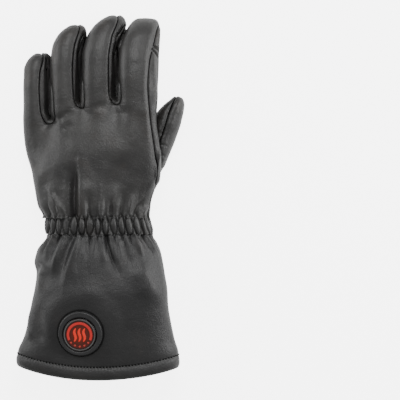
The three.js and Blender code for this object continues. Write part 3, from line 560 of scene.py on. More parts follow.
# Folds, in millimetres from the wrist's middle. Each row: start and end; bow, to the right of that way;
# half widths on its left and right; how far the leather stands up; 2 for a soft fold and less for a sharp
# one; shares of the length over which it dies away at the start and at the end
HAND_FOLDS = (
    ((-20.6, -3), (-18.4, 50), -1.8, (5.6, 3.0), -6.6, 1.5, (0.03, 0.45)),
    ((-12.4, -3), (-12.6, 74), -4.4, (2.6, 9.0), 1.7, 1.8, (0.03, 0.8)),
    ((-17.5, 52), (-26.0, 78), 1.0, (6.0, 7.0), 0.8, 2, (0.5, 0.5)),
    ((-32.5, -3), (-48.5, 28), 3.6, (3.0, 2.2), 2.4, 1.5, (0.04, 0.45)),
    ((-42.0, -2), (-49.0, 14), 0.8, (3.6, 3.2), -0.9, 2, (0.1, 0.6)),
    ((-49.5, 24), (-53.5, 46), 0.8, (4.4, 4.4), 1.0, 2, (0.5, 0.5)),
    ((-27.0, -3), (-35.0, 15), 0.6, (1.6, 1.6), 1.2, 1.5, (0.05, 0.5)),
    ((2.6, -3), (3.0, 32), 0.2, (1.6, 3.2), 1.3, 1.6, (0.05, 0.8)),
    ((11.0, -3), (12.0, 20), 0.3, (2.4, 1.8), -2.6, 1.6, (0.05, 0.6)),
    ((14.6, -2), (16.5, 28), -0.4, (1.8, 3.0), 1.3, 1.5, (0.05, 0.6)),
    ((21.0, -2), (24.0, 26), 0.2, (2.8, 2.4), -2.4, 1.8, (0.05, 0.6)),
    ((26.0, -3), (34.8, 26), -2.0, (1.6, 2.2), 2.0, 1.5, (0.04, 0.6)),
    ((31.5, -2), (41.0, 18), -0.8, (2.2, 2.4), -2.8, 1.7, (0.05, 0.45)),
    ((35.5, -2), (45.5, 11), -0.6, (1.4, 1.5), 1.9, 1.4, (0.06, 0.4)),
    ((-7.5, -2), (-9.0, 26), 0.0, (3.4, 3.4), -2.4, 1.8, (0.05, 0.6)),
    ((-37.0, 84), (-21.0, 95), -0.5, (3.4, 3.4), -1.4, 2, (0.2, 0.4)),
    ((-33.0, 73), (-22.0, 82), -0.5, (4.4, 4.4), -0.9, 2, (0.4, 0.4)),
    ((9.0, 14), (24.0, 60), 2.0, (10.0, 9.0), -2.0, 2, (0.4, 0.4)),
    ((-8.4, 94), (9.5, 99), -0.4, (3.6, 3.6), -0.7, 2, (0.35, 0.4)),
    ((38.0, 60), (36.0, 96), 0.0, (6.0, 6.0), -0.7, 2, (0.4, 0.4)),
    ((51.0, 30), (55.5, 64), -1.0, (1.3, 1.6), 1.8, 1.4, (0.2, 0.3)),
    ((54.0, 62), (48.5, 148), -1.0, (1.7, 2.0), 1.3, 1.6, (0.12, 0.15)),
    ((47.2, 148.2), (53.6, 137.6), -1.4, (0.9, 0.9), -2.4, 1.5, (0.1, 0.2)),
    ((48.6, 151.0), (55.2, 141.4), -1.4, (0.9, 0.9), -2.4, 1.5, (0.1, 0.2)),
    ((14.4, 163.0), (19.5, 158.4), -0.8, (1.0, 1.0), -0.9, 1.8, (0.2, 0.3)),
    ((13.4, 160.4), (18.4, 155.6), -0.8, (1.0, 1.0), -0.9, 1.8, (0.2, 0.3)),
)


def fold_height(rows, p, count=28):
    """How far the folds of a table lift the leather at each place"""
    total = np.zeros(len(p))
    t = np.linspace(0, 1, count)
    for a, b, bow, (left, right), high, crisp, (fade, fade2) in rows:
        a, b = np.array(a, float), np.array(b, float)
        along = (b - a) / np.linalg.norm(b - a)
        bend = (a + b) / 2 + 2 * bow * np.array([along[1], -along[0]])
        s = t[:, None]
        curve = (1 - s) ** 2 * a + 2 * s * (1 - s) * bend + s ** 2 * b
        reach = 3 * max(left, right)
        inside = (p[:, :2] > curve.min(axis=0) - reach) & (p[:, :2] < curve.max(axis=0) + reach)
        near = np.nonzero(np.all(inside, axis=1))[0]
        q = p[near, :2]
        best, share, offset = np.full(len(q), 1e9), np.zeros(len(q)), np.zeros(len(q))
        for k in range(count - 1):
            run = curve[k + 1] - curve[k]
            s = np.clip(((q - curve[k]) @ run) / (run @ run), 0, 1)
            away = q - curve[k] - s[:, None] * run
            d = np.hypot(away[:, 0], away[:, 1])
            closer = d < best
            best = np.where(closer, d, best)
            share = np.where(closer, t[k] + s * (t[k + 1] - t[k]), share)
            offset = np.where(closer, away[:, 0] * run[1] - away[:, 1] * run[0], offset)
        ends = smooth(0, fade, share) * (1 - smooth(1 - fade2, 1, share))
        total[near] += high * ends * np.exp(-(best / np.where(offset > 0, right, left)) ** crisp)
    return total


LUMP_CELLS = 32


def lumps(p, size, seed):
    """Soft random swelling between -1 and 1, with hills about as big as size"""
    table = np.random.default_rng(seed).uniform(-1, 1, (LUMP_CELLS, LUMP_CELLS, LUMP_CELLS))
    q = p / size + 7.3
    cell = np.floor(q).astype(int)
    t = q - cell
    t = t * t * (3 - 2 * t)
    total = np.zeros(len(p))
    for corner in np.ndindex(2, 2, 2):
        weight = np.prod(np.abs(1 - np.array(corner) - t), axis=1)
        total += weight * table[tuple(((cell + np.array(corner)) % LUMP_CELLS).T)]
    return total


def groove(distance, line, hollow, reach):
    """How far a sewn seam draws the leather in: a sharp line in a soft hollow"""
    return line * np.exp(-(distance / 0.8) ** 2) + hollow * np.exp(-(distance / reach) ** 2)


# The two elastic rows of the wrist draw the leather into gathers: between the rows pointed lobes, whose
# ends stand between those of the hand on one side and of the cuff on the other
GATHERS = 32
GATHER_HEIGHT = 2.8
WRIST_LENGTH = 15.0
LOBE_REACH = 2.2
WRIST_SECTION = dict(left=-44.4, right=44.4, up=20.8, down=20.8, height=22.96, power=2.35)


def section_curve(section, steps, inset=0.0):
    """x and z of places round a section, from the middle of the back to the thumb's side, and how far
    round each is"""
    turn = np.linspace(0, 2 * np.pi, steps)
    power = 2 / section["power"]
    half = (section["right"] - section["left"]) / 2 - inset
    s, c = np.sin(turn), np.cos(turn)
    high = np.where(c > 0, section["up"] - inset, section["down"] - inset)
    x = (section["left"] + section["right"]) / 2 + half * np.sign(s) * np.abs(s) ** power
    z = section["height"] + high * np.sign(c) * np.abs(c) ** power
    return x, z, np.concatenate([[0], np.cumsum(np.hypot(np.diff(x), np.diff(z)))])


def wander(share):
    """Uneven spacing of the gathers, the same on both sides of a row"""
    return share + 0.07 * np.sin(share * 2.1) + 0.05 * np.sin(share * 5.3 + 1)


def wrist_share(x, z):
    """Place round the wrist as a number of gathers, counted from the middle of the back"""
    cx, cz, length = section_curve(WRIST_SECTION, 721)
    angle = np.unwrap(np.arctan2(cx, cz - WRIST_SECTION["height"]))
    here = np.mod(np.arctan2(x, z - WRIST_SECTION["height"]), 2 * np.pi)
    return np.interp(here, angle, length / length[-1]) * GATHERS


def gather_height(share, y, normals):
    """How far the gathers lift the leather, y millimetres from the upper elastic row"""
    share = wander(share)
    lens = np.clip(1 - ((y + WRIST_LENGTH / 2) / (WRIST_LENGTH / 2 + LOBE_REACH)) ** 2, 0, 1) ** 1.1
    beyond = np.maximum(np.maximum(y, -WRIST_LENGTH - y) - LOBE_REACH, 0)
    lobe, other = np.abs(share - np.round(share)), np.abs(share - np.floor(share) - 0.5)
    dome = lambda away, half: np.maximum(1 - (away / np.maximum(half, 0.02)) ** 2, 0) ** 0.62
    uneven = 1 + 0.22 * np.sin(np.round(share) * 2.4) + 0.1 * np.sin(np.round(share) * 5.1)
    tips = (1 + 0.3 * np.sin(np.floor(share) * 1.7 + 2)) * (1 - 0.4 * smooth(-2, 3, y))
    rows = np.exp(-(y / 1.1) ** 2) + np.exp(-((y + WRIST_LENGTH) / 1.1) ** 2)
    fade = np.exp(-beyond / (6.5 + 4.5 * np.sin(np.floor(share) * 2.7 + np.sign(y + WRIST_LENGTH / 2))))
    height = dome(lobe, 0.44 * lens) * lens ** 0.5 * uneven
    height += dome(other, 0.47 * (1 - lens)) * (1 - lens) ** 0.5 * fade * tips
    return (GATHER_HEIGHT * (height - 0.35 * fade) - 0.25 * rows) * smooth(-1.2, 0.2, normals[:, 2])


# The leather that lies on the floor stays this far above it
FLOOR_GAP = 0.02
top = smooth(-0.1, 0.5, skin_normals[:, 2])
height = fold_height(HAND_FOLDS, skin) * top
height += gather_height(wrist_share(skin[:, 0], skin[:, 2]), skin[:, 1], skin_normals)
height += 0.45 * lumps(skin, size=22, seed=3) * top + 0.2 * lumps(skin, size=9, seed=5)
height -= groove(seam, line=0.9, hollow=0.75, reach=3.4)
skin = skin + skin_normals * height[:, None]
skin[:, 2] = np.maximum(skin[:, 2], FLOOR_GAP)


def make_object(name, points, faces, attributes=None, material_index=None):
    """A smooth-shaded mesh in the frame, from places in millimetres"""
    mesh = bpy.data.meshes.new(name)
    world = np.asarray(points, float) * MM + np.array(ORIGIN)
    mesh.from_pydata(world.tolist(), [], [list(map(int, face)) for face in faces])
    mesh.polygons.foreach_set("use_smooth", [True] * len(mesh.polygons))
    if material_index is not None:
        mesh.polygons.foreach_set("material_index", np.asarray(material_index, np.int32))
    for key, values in (attributes or {}).items():
        mesh.attributes.new(key, "FLOAT", "POINT").data.foreach_set("value", np.asarray(values, np.float32))
    mesh.update()
    thing = bpy.data.objects.new(name, mesh)
    bpy.context.scene.collection.objects.link(thing)
    return thing


def finish_piece(thing, nodes, slot, materials, body="glove"):
    """Gives a piece its materials and tells the frame which solids it stands for"""
    for material in materials:
        thing.data.materials.append(material)
    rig.ride(thing, body)
    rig.replaces(thing, *nodes)
    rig.slot(thing, slot)


def wire(tree, made, values):
    """Gives a node its settings, and its inputs by name or number. Another node's output is linked"""
    for key, value in values.items():
        if isinstance(key, str) and hasattr(made, key):
            setattr(made, key, value)
            continue
        socket = made.inputs[key.replace("_", " ") if isinstance(key, str) else key]
        if isinstance(value, bpy.types.NodeSocket):
            tree.links.new(value, socket)
        else:
            socket.default_value = value
    return made


def node(tree, kind, **values):
    """A new shader or geometry node, to the right of the last one"""
    made = tree.nodes.new(kind)
    made.location = (220 * len(tree.nodes), 0)
    return wire(tree, made, values)


def object_place(tree):
    return node(tree, "ShaderNodeTexCoord").outputs["Object"]


def maths(tree, operation, *inputs):
    return wire(tree, node(tree, "ShaderNodeMath", operation=operation), dict(enumerate(inputs))).outputs[0]


def noise(tree, place, scale, detail, **values):
    return node(tree, "ShaderNodeTexNoise", Vector=place, Scale=scale, Detail=detail, **values).outputs["Fac"]


def remap(tree, value, source=(0, 1), target=(0, 1), kind="LINEAR"):
    """A value carried from one range over to another, and held at its ends"""
    return node(tree, "ShaderNodeMapRange", interpolation_type=kind, Value=value, From_Min=source[0],
                From_Max=source[1], To_Min=target[0], To_Max=target[1]).outputs["Result"]


def mix(tree, factor, a, b, blend="MIX"):
    """The colour between a and b"""
    made = node(tree, "ShaderNodeMix", data_type="RGBA", blend_type=blend)
    return wire(tree, made, {0: factor, 6: a, 7: b}).outputs[2]


def bump(tree, height, strength, distance, **values):
    return node(tree, "ShaderNodeBump", Height=height, Strength=strength, Distance=distance,
                **values).outputs["Normal"]


def leather_group():
    """Grain, creases and patches of dyed leather: a colour, a roughness and a normal"""
    group = bpy.data.node_groups.new("leather surface", "ShaderNodeTree")
    for name, kind in (("Dark", "Color"), ("Light", "Color"), ("Patch", "Color"), ("Roughness", "Float")):
        group.interface.new_socket(name, in_out="INPUT", socket_type="NodeSocket" + kind)
    for name, kind in (("Color", "Color"), ("Roughness", "Float"), ("Normal", "Vector")):
        group.interface.new_socket(name, in_out="OUTPUT", socket_type="NodeSocket" + kind)
    into = node(group, "NodeGroupInput").outputs
    place = object_place(group)
    # Pebble grain: cells with soft walls and fine pores over them, on drawn wrinkles
    cells = node(group, "ShaderNodeTexVoronoi", feature="SMOOTH_F1", Vector=place, Scale=1150.0,
                 Smoothness=0.6).outputs["Distance"]
    pebbles = maths(group, "MULTIPLY_ADD", noise(group, place, scale=2600.0, detail=2.0), 0.35, cells)
    grain = bump(group, pebbles, strength=0.3, distance=0.00022)
    wrinkles = noise(group, place, scale=190.0, detail=5.0, Roughness=0.6, Distortion=0.6)
    normal = bump(group, wrinkles, strength=0.35, distance=0.0011, Normal=grain)
    # Broad clouds between dark and light, brownish patches, and painted shade in the gaps between the pebbles
    cloud = noise(group, place, scale=26.0, detail=5.0, Roughness=0.62)
    patches = noise(group, place, scale=44.0, detail=3.0)
    tone = mix(group, remap(group, cloud, (0.32, 0.68)), into["Dark"], into["Light"])
    tone = mix(group, remap(group, patches, (0.55, 0.72), (0, 0.6)), tone, into["Patch"])
    # Painted shade and light: the grain's cells darken towards their edges and lighten a little in their middles
    tone = mix(group, 1.0, tone, remap(group, cells, (0, 0.55), (1.06, 0.86)), "MULTIPLY")
    rough = maths(group, "ADD", remap(group, cloud, (0, 1), (-0.08, 0.08)), into["Roughness"])
    node(group, "NodeGroupOutput", Color=tone, Roughness=rough, Normal=normal)
    return group


LEATHER = leather_group()
# Black painted into the seams as the shade down in their sunk lines
PAINTED_SEAM_SHADE = (0.002, 0.002, 0.002, 1)
LEATHER_GLOSS = 0.4


def start_material(name, **values):
    """A material with a Principled shader, and its tree"""
    material = bpy.data.materials.new(name)
    material.use_nodes = True
    tree = material.node_tree
    tree.nodes.clear()
    shader = node(tree, "ShaderNodeBsdfPrincipled", **values)
    node(tree, "ShaderNodeOutputMaterial", Surface=shader.outputs["BSDF"])
    return material, tree, shader


def leather_material(name, dark, light, patch, roughness, seams=(), line=(0.2, 0.85)):
    """Leather whose sunk seam lines are painted black and glossless as shade, where each of the named distances is 0
    """
    material, tree, shader = start_material(name)
    made = node(tree, "ShaderNodeGroup", node_tree=LEATHER, Dark=(*dark, 1), Light=(*light, 1),
                Patch=(*patch, 1), Roughness=roughness).outputs
    colour, gloss = made["Color"], LEATHER_GLOSS
    # Painted shade: black and without gloss at each seam line, fading out over the distances in line
    for key in seams:
        distance = node(tree, "ShaderNodeAttribute", attribute_name=key).outputs["Fac"]
        clear = remap(tree, maths(tree, "ABSOLUTE", distance), line, kind="SMOOTHSTEP")
        colour = mix(tree, clear, PAINTED_SEAM_SHADE, colour)
        gloss = maths(tree, "MULTIPLY", clear, gloss)
    wire(tree, shader, dict(Base_Color=colour, Specular_IOR_Level=gloss, Roughness=made["Roughness"],
                            Normal=made["Normal"]))
    return material


def lining_material():
    """Brushed dark fleece, a little uneven in tone under its nap"""
    material, tree, shader = start_material("fleece lining", Roughness=0.95, Sheen_Weight=0.35,
                                            Sheen_Roughness=0.6)
    place = object_place(tree)
    cloud = noise(tree, place, scale=60.0, detail=3.0)
    nap = noise(tree, place, scale=900.0, detail=4.0, Roughness=0.7)
    wire(tree, shader, dict(
        Base_Color=mix(tree, cloud, (0.012, 0.012, 0.013, 1), (0.035, 0.034, 0.034, 1)),
        Normal=bump(tree, nap, strength=0.6, distance=0.0006)))
    return material


# Painted seam shade along the fourchettes' and the palm's seams
hand_leather = leather_material("hand leather", dark=(0.0156, 0.0152, 0.015), light=(0.0295, 0.0286, 0.0274),
                                patch=(0.027, 0.0225, 0.0195), roughness=0.44, seams=("seam_f", "seam_p"))
fleece = lining_material()

centres = skin[skin_quads].mean(axis=1)
label = np.where(palm_seam(centres) < 0, 1, 0)
for i in range(len(CREASES)):
    label = np.where(fourchette(i, centres) < 0, 2 + i, label)
# The sheet is open at the wrist, where the gathered band carries it on
OPEN_FROM = -1.2
beyond_wrist = skin[skin_quads][:, :, 1].min(axis=1) > OPEN_FROM
HAND_PANELS = (
    dict(name="hand_back", fill=0.5),
    dict(name="palm", fill=0.4),
    dict(name="fourchette_little_ring", fill=0),
    dict(name="fourchette_ring_middle", fill=0),
    dict(name="fourchette_middle_index", fill=0),
)
for k, row in enumerate(HAND_PANELS):
    faces = skin_quads[(label == k) & beyond_wrist]
    used, back = np.unique(faces, return_inverse=True)
    panel = make_object(row["name"] + "_leather", skin[used], back.reshape(faces.shape),
                        {"seam_f": seam_f[used], "seam_p": seam_p[used]})
    finish_piece(panel, [row["name"]], "hand_leather", [hand_leather])
    if row["fill"]:
        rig.padded(panel, row["fill"])

# Inside, the same form less the wall, faced with fleece, and pushed in by the leather's deeper creases
INNER_STEP = 2.4
CREASE_SHARE = 1.25
inner, inner_quads = surface(lambda x, y, z: np.maximum(glove_field(x, y, z), SEAM_GAP - z) + WALL,
                             HAND_LOW, HAND_HIGH, INNER_STEP)
inner_normals = normals_of(inner, inner_quads)
pushed = CREASE_SHARE * np.minimum(fold_height(HAND_FOLDS, inner), 0) * smooth(-0.1, 0.5, inner_normals[:, 2])
inner = inner + inner_normals * pushed[:, None]
inner_quads = inner_quads[inner[inner_quads][:, :, 1].min(axis=1) > OPEN_FROM][:, ::-1]
hand_lining = make_object("hand_lining", inner, inner_quads)
finish_piece(hand_lining, ["hand_back", "palm"], "hand_leather", [fleece])

# Thumb: a tube of two panels, set into the palm's side and lying out from it. One seam runs along its
# top, the other along its underside; where it is sewn in, the leather is drawn in and swells beyond.

THUMB_LENGTH = 79.6
THUMB_WIDTH = 26.0
THUMB_DEPTH = 25.0
THUMB_ANGLE = 17.5
THUMB_ROOT = (41.2, 33.5)
THUMB_ROOT_HEIGHT = 17.0
THUMB_REST = 0.47
THUMB_ROLL = 14.0
THUMB_POWER = 2.15
THUMB_START = -0.1
# at: share of the length; half and deep: shares of half the width and depth; shift: share of half the
# width; drop: share of the way down to where the thumb rests; seam: its place, share of half the width
THUMB_ROWS = dict(
    at=(-0.1, 0.06, 0.22, 0.45, 0.62, 0.79, 0.887, 0.935, 0.97, 0.99, 1.0),
    half=(0.62, 0.85, 0.97, 1.0, 0.99, 0.82, 0.61, 0.48, 0.35, 0.22, 0.02),
    deep=(0.62, 0.84, 0.98, 1.0, 0.98, 0.9, 0.78, 0.66, 0.5, 0.3, 0.02),
    shift=(-0.25, -0.12, 0.0, 0.09, 0.15, 0.295, 0.42, 0.473, 0.46, 0.42, 0.36),
    drop=(-0.1, 0.0, 0.3, 0.8, 1.0, 1.0, 1.0, 1.0, 1.0, 1.0, 1.0),
    seam=(0.0, 0.05, 0.1, 0.15, 0.17, 0.14, 0.17, 0.2, 0.22, 0.25, 0.27),
)


def thumb_frame(x, y):
    c, s = np.cos(np.radians(THUMB_ANGLE)), np.sin(np.radians(THUMB_ANGLE))
    dx, dy = x - THUMB_ROOT[0], y - THUMB_ROOT[1]
    return c * dx - s * dy, s * dx + c * dy


def thumb_field(x, y, z):
    across, along = thumb_frame(x, y)
    at = along / THUMB_LENGTH
    flat = np.clip(at, THUMB_START, 1)
    drop = (THUMB_DEPTH * THUMB_REST - THUMB_ROOT_HEIGHT) * column(THUMB_ROWS, "drop", flat)
    deep = THUMB_DEPTH / 2 * column(THUMB_ROWS, "deep", flat)
    half = THUMB_WIDTH / 2 * column(THUMB_ROWS, "half", flat)
    middle = THUMB_WIDTH / 2 * column(THUMB_ROWS, "shift", flat)
    tube = oval(across - middle, z - THUMB_ROOT_HEIGHT - drop, half, deep, THUMB_POWER, THUMB_ROLL)
    return np.maximum(np.maximum(tube, (at - 1) * THUMB_LENGTH), (THUMB_START - at) * THUMB_LENGTH)


# The thumb's form ends this far inside the hand's, and its leather shows from a little further out
THUMB_SUNK = 1.0
THUMB_SHOWN = 0.8


def set_in(x, y, z):
    """The thumb beyond the hand, a little way into its surface"""
    return np.maximum(thumb_field(x, y, z), -glove_field(x, y, z) - THUMB_SUNK)


THUMB_LOW = (36.0, 22.0, -1.5)
THUMB_HIGH = (82.0, 112.0, 32.0)
thumb, thumb_quads, thumb_normals = skin_of(set_in, THUMB_LOW, THUMB_HIGH)
across, along = thumb_frame(thumb[:, 0], thumb[:, 1])
seam_line = THUMB_WIDTH / 2 * column(THUMB_ROWS, "seam", np.clip(along / THUMB_LENGTH, THUMB_START, 1))
seam_t = (across - seam_line) / np.maximum(np.hypot(thumb_normals[:, 1], thumb_normals[:, 2]), 0.25)
root = glove_field(*thumb.T)
swell = 0.35 * lumps(thumb, size=12, seed=11) + 0.2 * lumps(thumb, size=6, seed=12)
swell -= groove(seam_t, line=0.8, hollow=0.6, reach=3.0) + 0.8 * np.exp(-(root / 1.4) ** 2)
# Short creases run out from where the thumb bends against the palm
bends = np.maximum(np.sin(along * 0.62 + 1.5 * lumps(thumb, size=15, seed=4)), 0) ** 3
swell -= 0.5 * bends * np.exp(-(root / 5.0) ** 2)
thumb = thumb + thumb_normals * swell[:, None]
thumb[:, 2] = np.maximum(thumb[:, 2], FLOOR_GAP)
# Painted seam shade along the thumb's seam and round its root in the palm
# Painted shade: the same leather as the hand's, given tones about a fifth darker on the thumb
shaded_thumb_leather = leather_material("thumb leather painted darker", dark=(0.0122, 0.012, 0.0118), light=(0.0235, 0.023, 0.022),
                                 patch=(0.026, 0.022, 0.019), roughness=0.44, seams=("seam_t", "seam_r"))
outside = glove_field(*thumb[thumb_quads].mean(axis=1).T) > -THUMB_SHOWN
for name, way in (("thumb_inner", -1), ("thumb_outer", 1)):
    mine = (np.sign(seam_t[thumb_quads].mean(axis=1)) == way) & outside
    used, back = np.unique(thumb_quads[mine], return_inverse=True)
    panel = make_object(name + "_leather", thumb[used], back.reshape(-1, 4),
                        {"seam_t": seam_t[used], "seam_r": root[used]})
    finish_piece(panel, [name], "hand_leather", [shaded_thumb_leather])
    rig.padded(panel, 0.5)

# Wrist: a band of the same leather between two elastic rows, drawn up into pointed gathers.


def section_ring(section, count, inset=0.0):
    """Evenly spaced places (x, z) round a section, from the middle of the back to the thumb's side"""
    x, z, length = section_curve(section, 1441, inset)
    even = np.arange(count) / count * length[-1]
    return np.stack([np.interp(even, length, x), np.interp(even, length, z)], axis=1)


def grid_quads(rows, around):
    """Faces of a grid of rows of places, each row running round"""
    i, j = np.meshgrid(np.arange(rows - 1) * around, np.arange(around), indexing="ij")
    k = (j + 1) % around
    return np.stack([i + j, i + around + j, i + around + k, i + k], axis=-1).reshape(-1, 4)


AROUND = 300 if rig.quick() else 620
LINING_AROUND = 120
# The band is a little wider on the little finger's side, and spreads towards the cuff on the other
BAND_LEFT = 1.5
BAND_FLARE = 2.4
BAND_LAP = 0.1


def band_rows(rows, count, inset=0.0):
    """Places of the plain band, without gathers, in rows from the hand to the cuff"""
    ring = section_ring(WRIST_SECTION, count, inset)
    ys = np.linspace(BAND_LAP, -WRIST_LENGTH - BAND_LAP, rows)
    return np.concatenate([np.column_stack([ring[:, 0], np.full(count, y), ring[:, 1]]) for y in ys])


def spread(points):
    """The band's places, moved sideways to its real width"""
    flare = BAND_FLARE * smooth(2, WRIST_LENGTH, -points[:, 1])
    side = np.clip(points[:, 0] / WRIST_SECTION["right"], -1, 1)
    return points + np.outer(np.where(side < 0, BAND_LEFT, flare) * side, (1, 0, 0))


BAND_ROWS = 20 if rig.quick() else 34
BAND_LINING_ROWS = 6
band, band_quads = band_rows(BAND_ROWS, AROUND), grid_quads(BAND_ROWS, AROUND)
band_normals = normals_of(band, band_quads)
lift = gather_height(wrist_share(band[:, 0], band[:, 2]), band[:, 1], band_normals)
lift += 0.15 * lumps(band, size=5, seed=8)
band = spread(band + band_normals * lift[:, None])
sleeve = spread(band_rows(BAND_LINING_ROWS, LINING_AROUND, WALL))
sleeve_quads = grid_quads(BAND_LINING_ROWS, LINING_AROUND)[:, ::-1] + len(band)
# Painted light: the same leather as the hand's, given tones a little lighter on the gathered band
wrist_leather = leather_material("wrist leather painted lighter", dark=(0.0165, 0.0162, 0.016), light=(0.032, 0.0313, 0.0306),
                                 patch=(0.025, 0.022, 0.02), roughness=0.45)
wrist = make_object("wrist_leather", np.concatenate([band, sleeve]),
                    np.concatenate([band_quads, sleeve_quads]),
                    material_index=[0] * len(band_quads) + [1] * len(sleeve_quads))
finish_piece(wrist, ["wrist"], "hand_leather", [wrist_leather, fleece])
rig.padded(wrist, 0.3)

# Cuff: the gauntlet's wide sleeve of darker leather, seamed up both sides. Big folds fan out from the
# gathers and die away towards the hem; round the switch its rigid housing holds the leather flat.

CUFF_LENGTH = 115.4
MOUTH_HALF = 71.0
# The mouth's middle lies this far from the wrist's, less than 0 to the little finger's side
MOUTH_OFFSET = -0.5
MOUTH_DEPTH = 62.0
# The back comes down towards the mouth, from this share of the length on
BACK_DROP = 9.0
DROP_FROM = 0.45
# How much nearer to the hand the mouth's ends are than its middle: little finger's side, thumb's side
HEM_SAG = (11.2, 9.9)
# How far the underside is pressed flat on the floor
PRESS = 1.2
# How square the section is at the wrist, and how much more so at the mouth
CUFF_POWER = 2.3
POWER_GAIN = 0.3
WRIST_RISE = 1.5
# at: share of the length; left, right and deep: shares of the way from the wrist's size to the mouth's;
# rise: share of the wrist's rise
CUFF_ROWS = dict(
    at=(0.0, 0.08, 0.14, 0.23, 0.33, 0.44, 0.58, 0.72, 0.86, 1.0),
    left=(-0.06, 0.14, 0.32, 0.41, 0.33, 0.4, 0.53, 0.63, 0.78, 0.98),
    right=(-0.04, 0.2, 0.33, 0.43, 0.51, 0.59, 0.64, 0.72, 0.85, 1.0),
    deep=(-0.12, 0.26, 0.46, 0.6, 0.7, 0.8, 0.835, 0.845, 0.92, 1.0),
    rise=(2.2, 0.8, 0.1, 0.0, 0.0, 0.0, 0.0, 0.0, 0.0, 0.0),
)
SWITCH_AT = (-14.5, -101.0)
SWITCH_TILT = 7.0
SWITCH_ROLL = -6.0
SWITCH_SUNK = 0.6
HOUSING_RADIUS = 19.4
# Below this, in the switch's frame, leather belongs to the underside and not to the seat
SEAT_DEPTH = 15.0

# Rows as in HAND_FOLDS
CUFF_FOLDS = (
    ((-14.0, -16), (-31.0, -76), 3.5, (3.6, 5.0), 2.6, 1.8, (0.03, 0.8)),
    ((-20.0, -15), (-33.0, -60), 2.5, (3.2, 3.6), -2.8, 1.8, (0.05, 0.6)),
    ((-25.0, -15), (-40.0, -56), 3.5, (2.6, 3.4), 2.8, 1.6, (0.05, 0.5)),
    ((-31.0, -15), (-45.0, -46), 2.5, (2.4, 2.8), -2.6, 1.7, (0.05, 0.5)),
    ((-36.0, -16), (-53.0, -34), 1.0, (2.4, 2.4), 2.6, 1.7, (0.08, 0.4)),
    ((-41.0, -16), (-54.0, -27), 0.5, (2.0, 2.0), -1.8, 1.7, (0.08, 0.4)),
    ((7.5, -15), (22.0, -54), 2.2, (2.4, 3.6), -4.0, 1.5, (0.04, 0.5)),
    ((4.0, -16), (5.0, -44), -0.6, (3.4, 2.0), 1.8, 1.6, (0.04, 0.6)),
    ((27.0, -50), (38.0, -88), 0.0, (9.0, 9.0), -0.7, 2, (0.4, 0.4)),
    ((30.0, -15), (40.0, -38), -1.0, (2.6, 2.4), 2.2, 1.6, (0.05, 0.5)),
    ((37.5, -15), (50.0, -33), -1.0, (2.0, 2.6), -2.8, 1.6, (0.05, 0.45)),
    ((35.0, -32), (58.0, -84), 2.5, (6.0, 9.0), 2.2, 2, (0.35, 0.5)),
    ((22.0, -20), (34.0, -52), 1.0, (4.0, 4.0), -1.6, 2, (0.15, 0.5)),
    ((-6.0, -16), (-8.0, -40), 0.0, (3.0, 3.0), -2.0, 1.8, (0.05, 0.6)),
    ((16.0, -15), (22.0, -34), 0.0, (2.4, 2.0), 1.4, 1.6, (0.05, 0.6)),
    ((-50.0, -44), (-53.0, -70), -1.5, (3.4, 3.0), 2.0, 1.7, (0.3, 0.5)),
    ((-50.0, -41), (-57.0, -54), 0.5, (3.0, 3.0), -1.8, 2, (0.3, 0.4)),
    ((-61.0, -82), (-60.0, -116), -1.0, (3.0, 4.0), 1.6, 1.8, (0.4, 0.3)),
    ((-52.0, -78), (-48.0, -118), 0.0, (6.0, 6.0), -1.4, 2, (0.4, 0.3)),
)


def cuff_section(at):
    share = {key: float(column(CUFF_ROWS, key, at)) for key in ("left", "right", "deep", "rise")}
    deep = WRIST_DEPTH + (MOUTH_DEPTH - WRIST_DEPTH) * share["deep"]
    drop = BACK_DROP * max(0.0, (at - DROP_FROM) / (1 - DROP_FROM)) ** 1.3
    return dict(left=-WRIST_HALF - (MOUTH_HALF - MOUTH_OFFSET - WRIST_HALF) * share["left"],
                right=WRIST_HALF + (MOUTH_HALF + MOUTH_OFFSET - WRIST_HALF) * share["right"],
                up=deep / 2 - drop, down=deep / 2, power=CUFF_POWER + POWER_GAIN * at,
                height=WRIST_RISE * share["rise"] + deep / 2 - PRESS)


def cuff_ring(at, count, inset=0.0):
    """Places round the cuff at a share of its length"""
    ring = section_ring(cuff_section(at), count, inset)
    sag = np.where(ring[:, 0] < 0, *HEM_SAG) * (ring[:, 0] / MOUTH_HALF) ** 2
    y = -WRIST_LENGTH - at * CUFF_LENGTH + at * sag
    return np.column_stack([ring[:, 0], y, np.maximum(ring[:, 1], inset + FLOOR_GAP)])


seat = cuff_section((-SWITCH_AT[1] - WRIST_LENGTH) / CUFF_LENGTH)
SWITCH_PLACE = Matrix.Translation((*SWITCH_AT, seat["height"] + seat["up"] - SWITCH_SUNK)) @ Euler(
    (np.radians(SWITCH_TILT), np.radians(SWITCH_ROLL), 0), "XYZ").to_matrix().to_4x4()
switch_turn = np.array(SWITCH_PLACE.to_3x3())
switch_middle = np.array(SWITCH_PLACE.translation)


def switch_frame(p):
    return (p - switch_middle) @ switch_turn


cuff_at = np.linspace(0, 1, 90 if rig.quick() else 170)
cuff = np.stack([cuff_ring(at, AROUND) for at in cuff_at]).reshape(-1, 3)
cuff_quads = grid_quads(len(cuff_at), AROUND)
cuff_normals = normals_of(cuff, cuff_quads)
around = np.tile(np.arange(AROUND) / AROUND, len(cuff_at))
at = np.repeat(cuff_at, AROUND)
flat_y = -WRIST_LENGTH - at * CUFF_LENGTH
on_back = smooth(-0.15, 0.35, cuff_normals[:, 2])
# Round the switch and at the hem the leather is held without lumps
QUIET_RADIUS = (21.0, 34.0)
QUIET_SHARE = 0.06
quiet = smooth(*QUIET_RADIUS, np.hypot(*switch_frame(cuff)[:, :2].T))
quiet *= 1 - np.exp(-(1 - at) / QUIET_SHARE)
lift = fold_height(CUFF_FOLDS, np.column_stack([cuff[:, 0], flat_y])) * on_back
lift += (0.9 * lumps(cuff, size=34, seed=21) + 0.4 * lumps(cuff, size=15, seed=22)) * quiet
lift += gather_height(around * GATHERS, flat_y, cuff_normals)
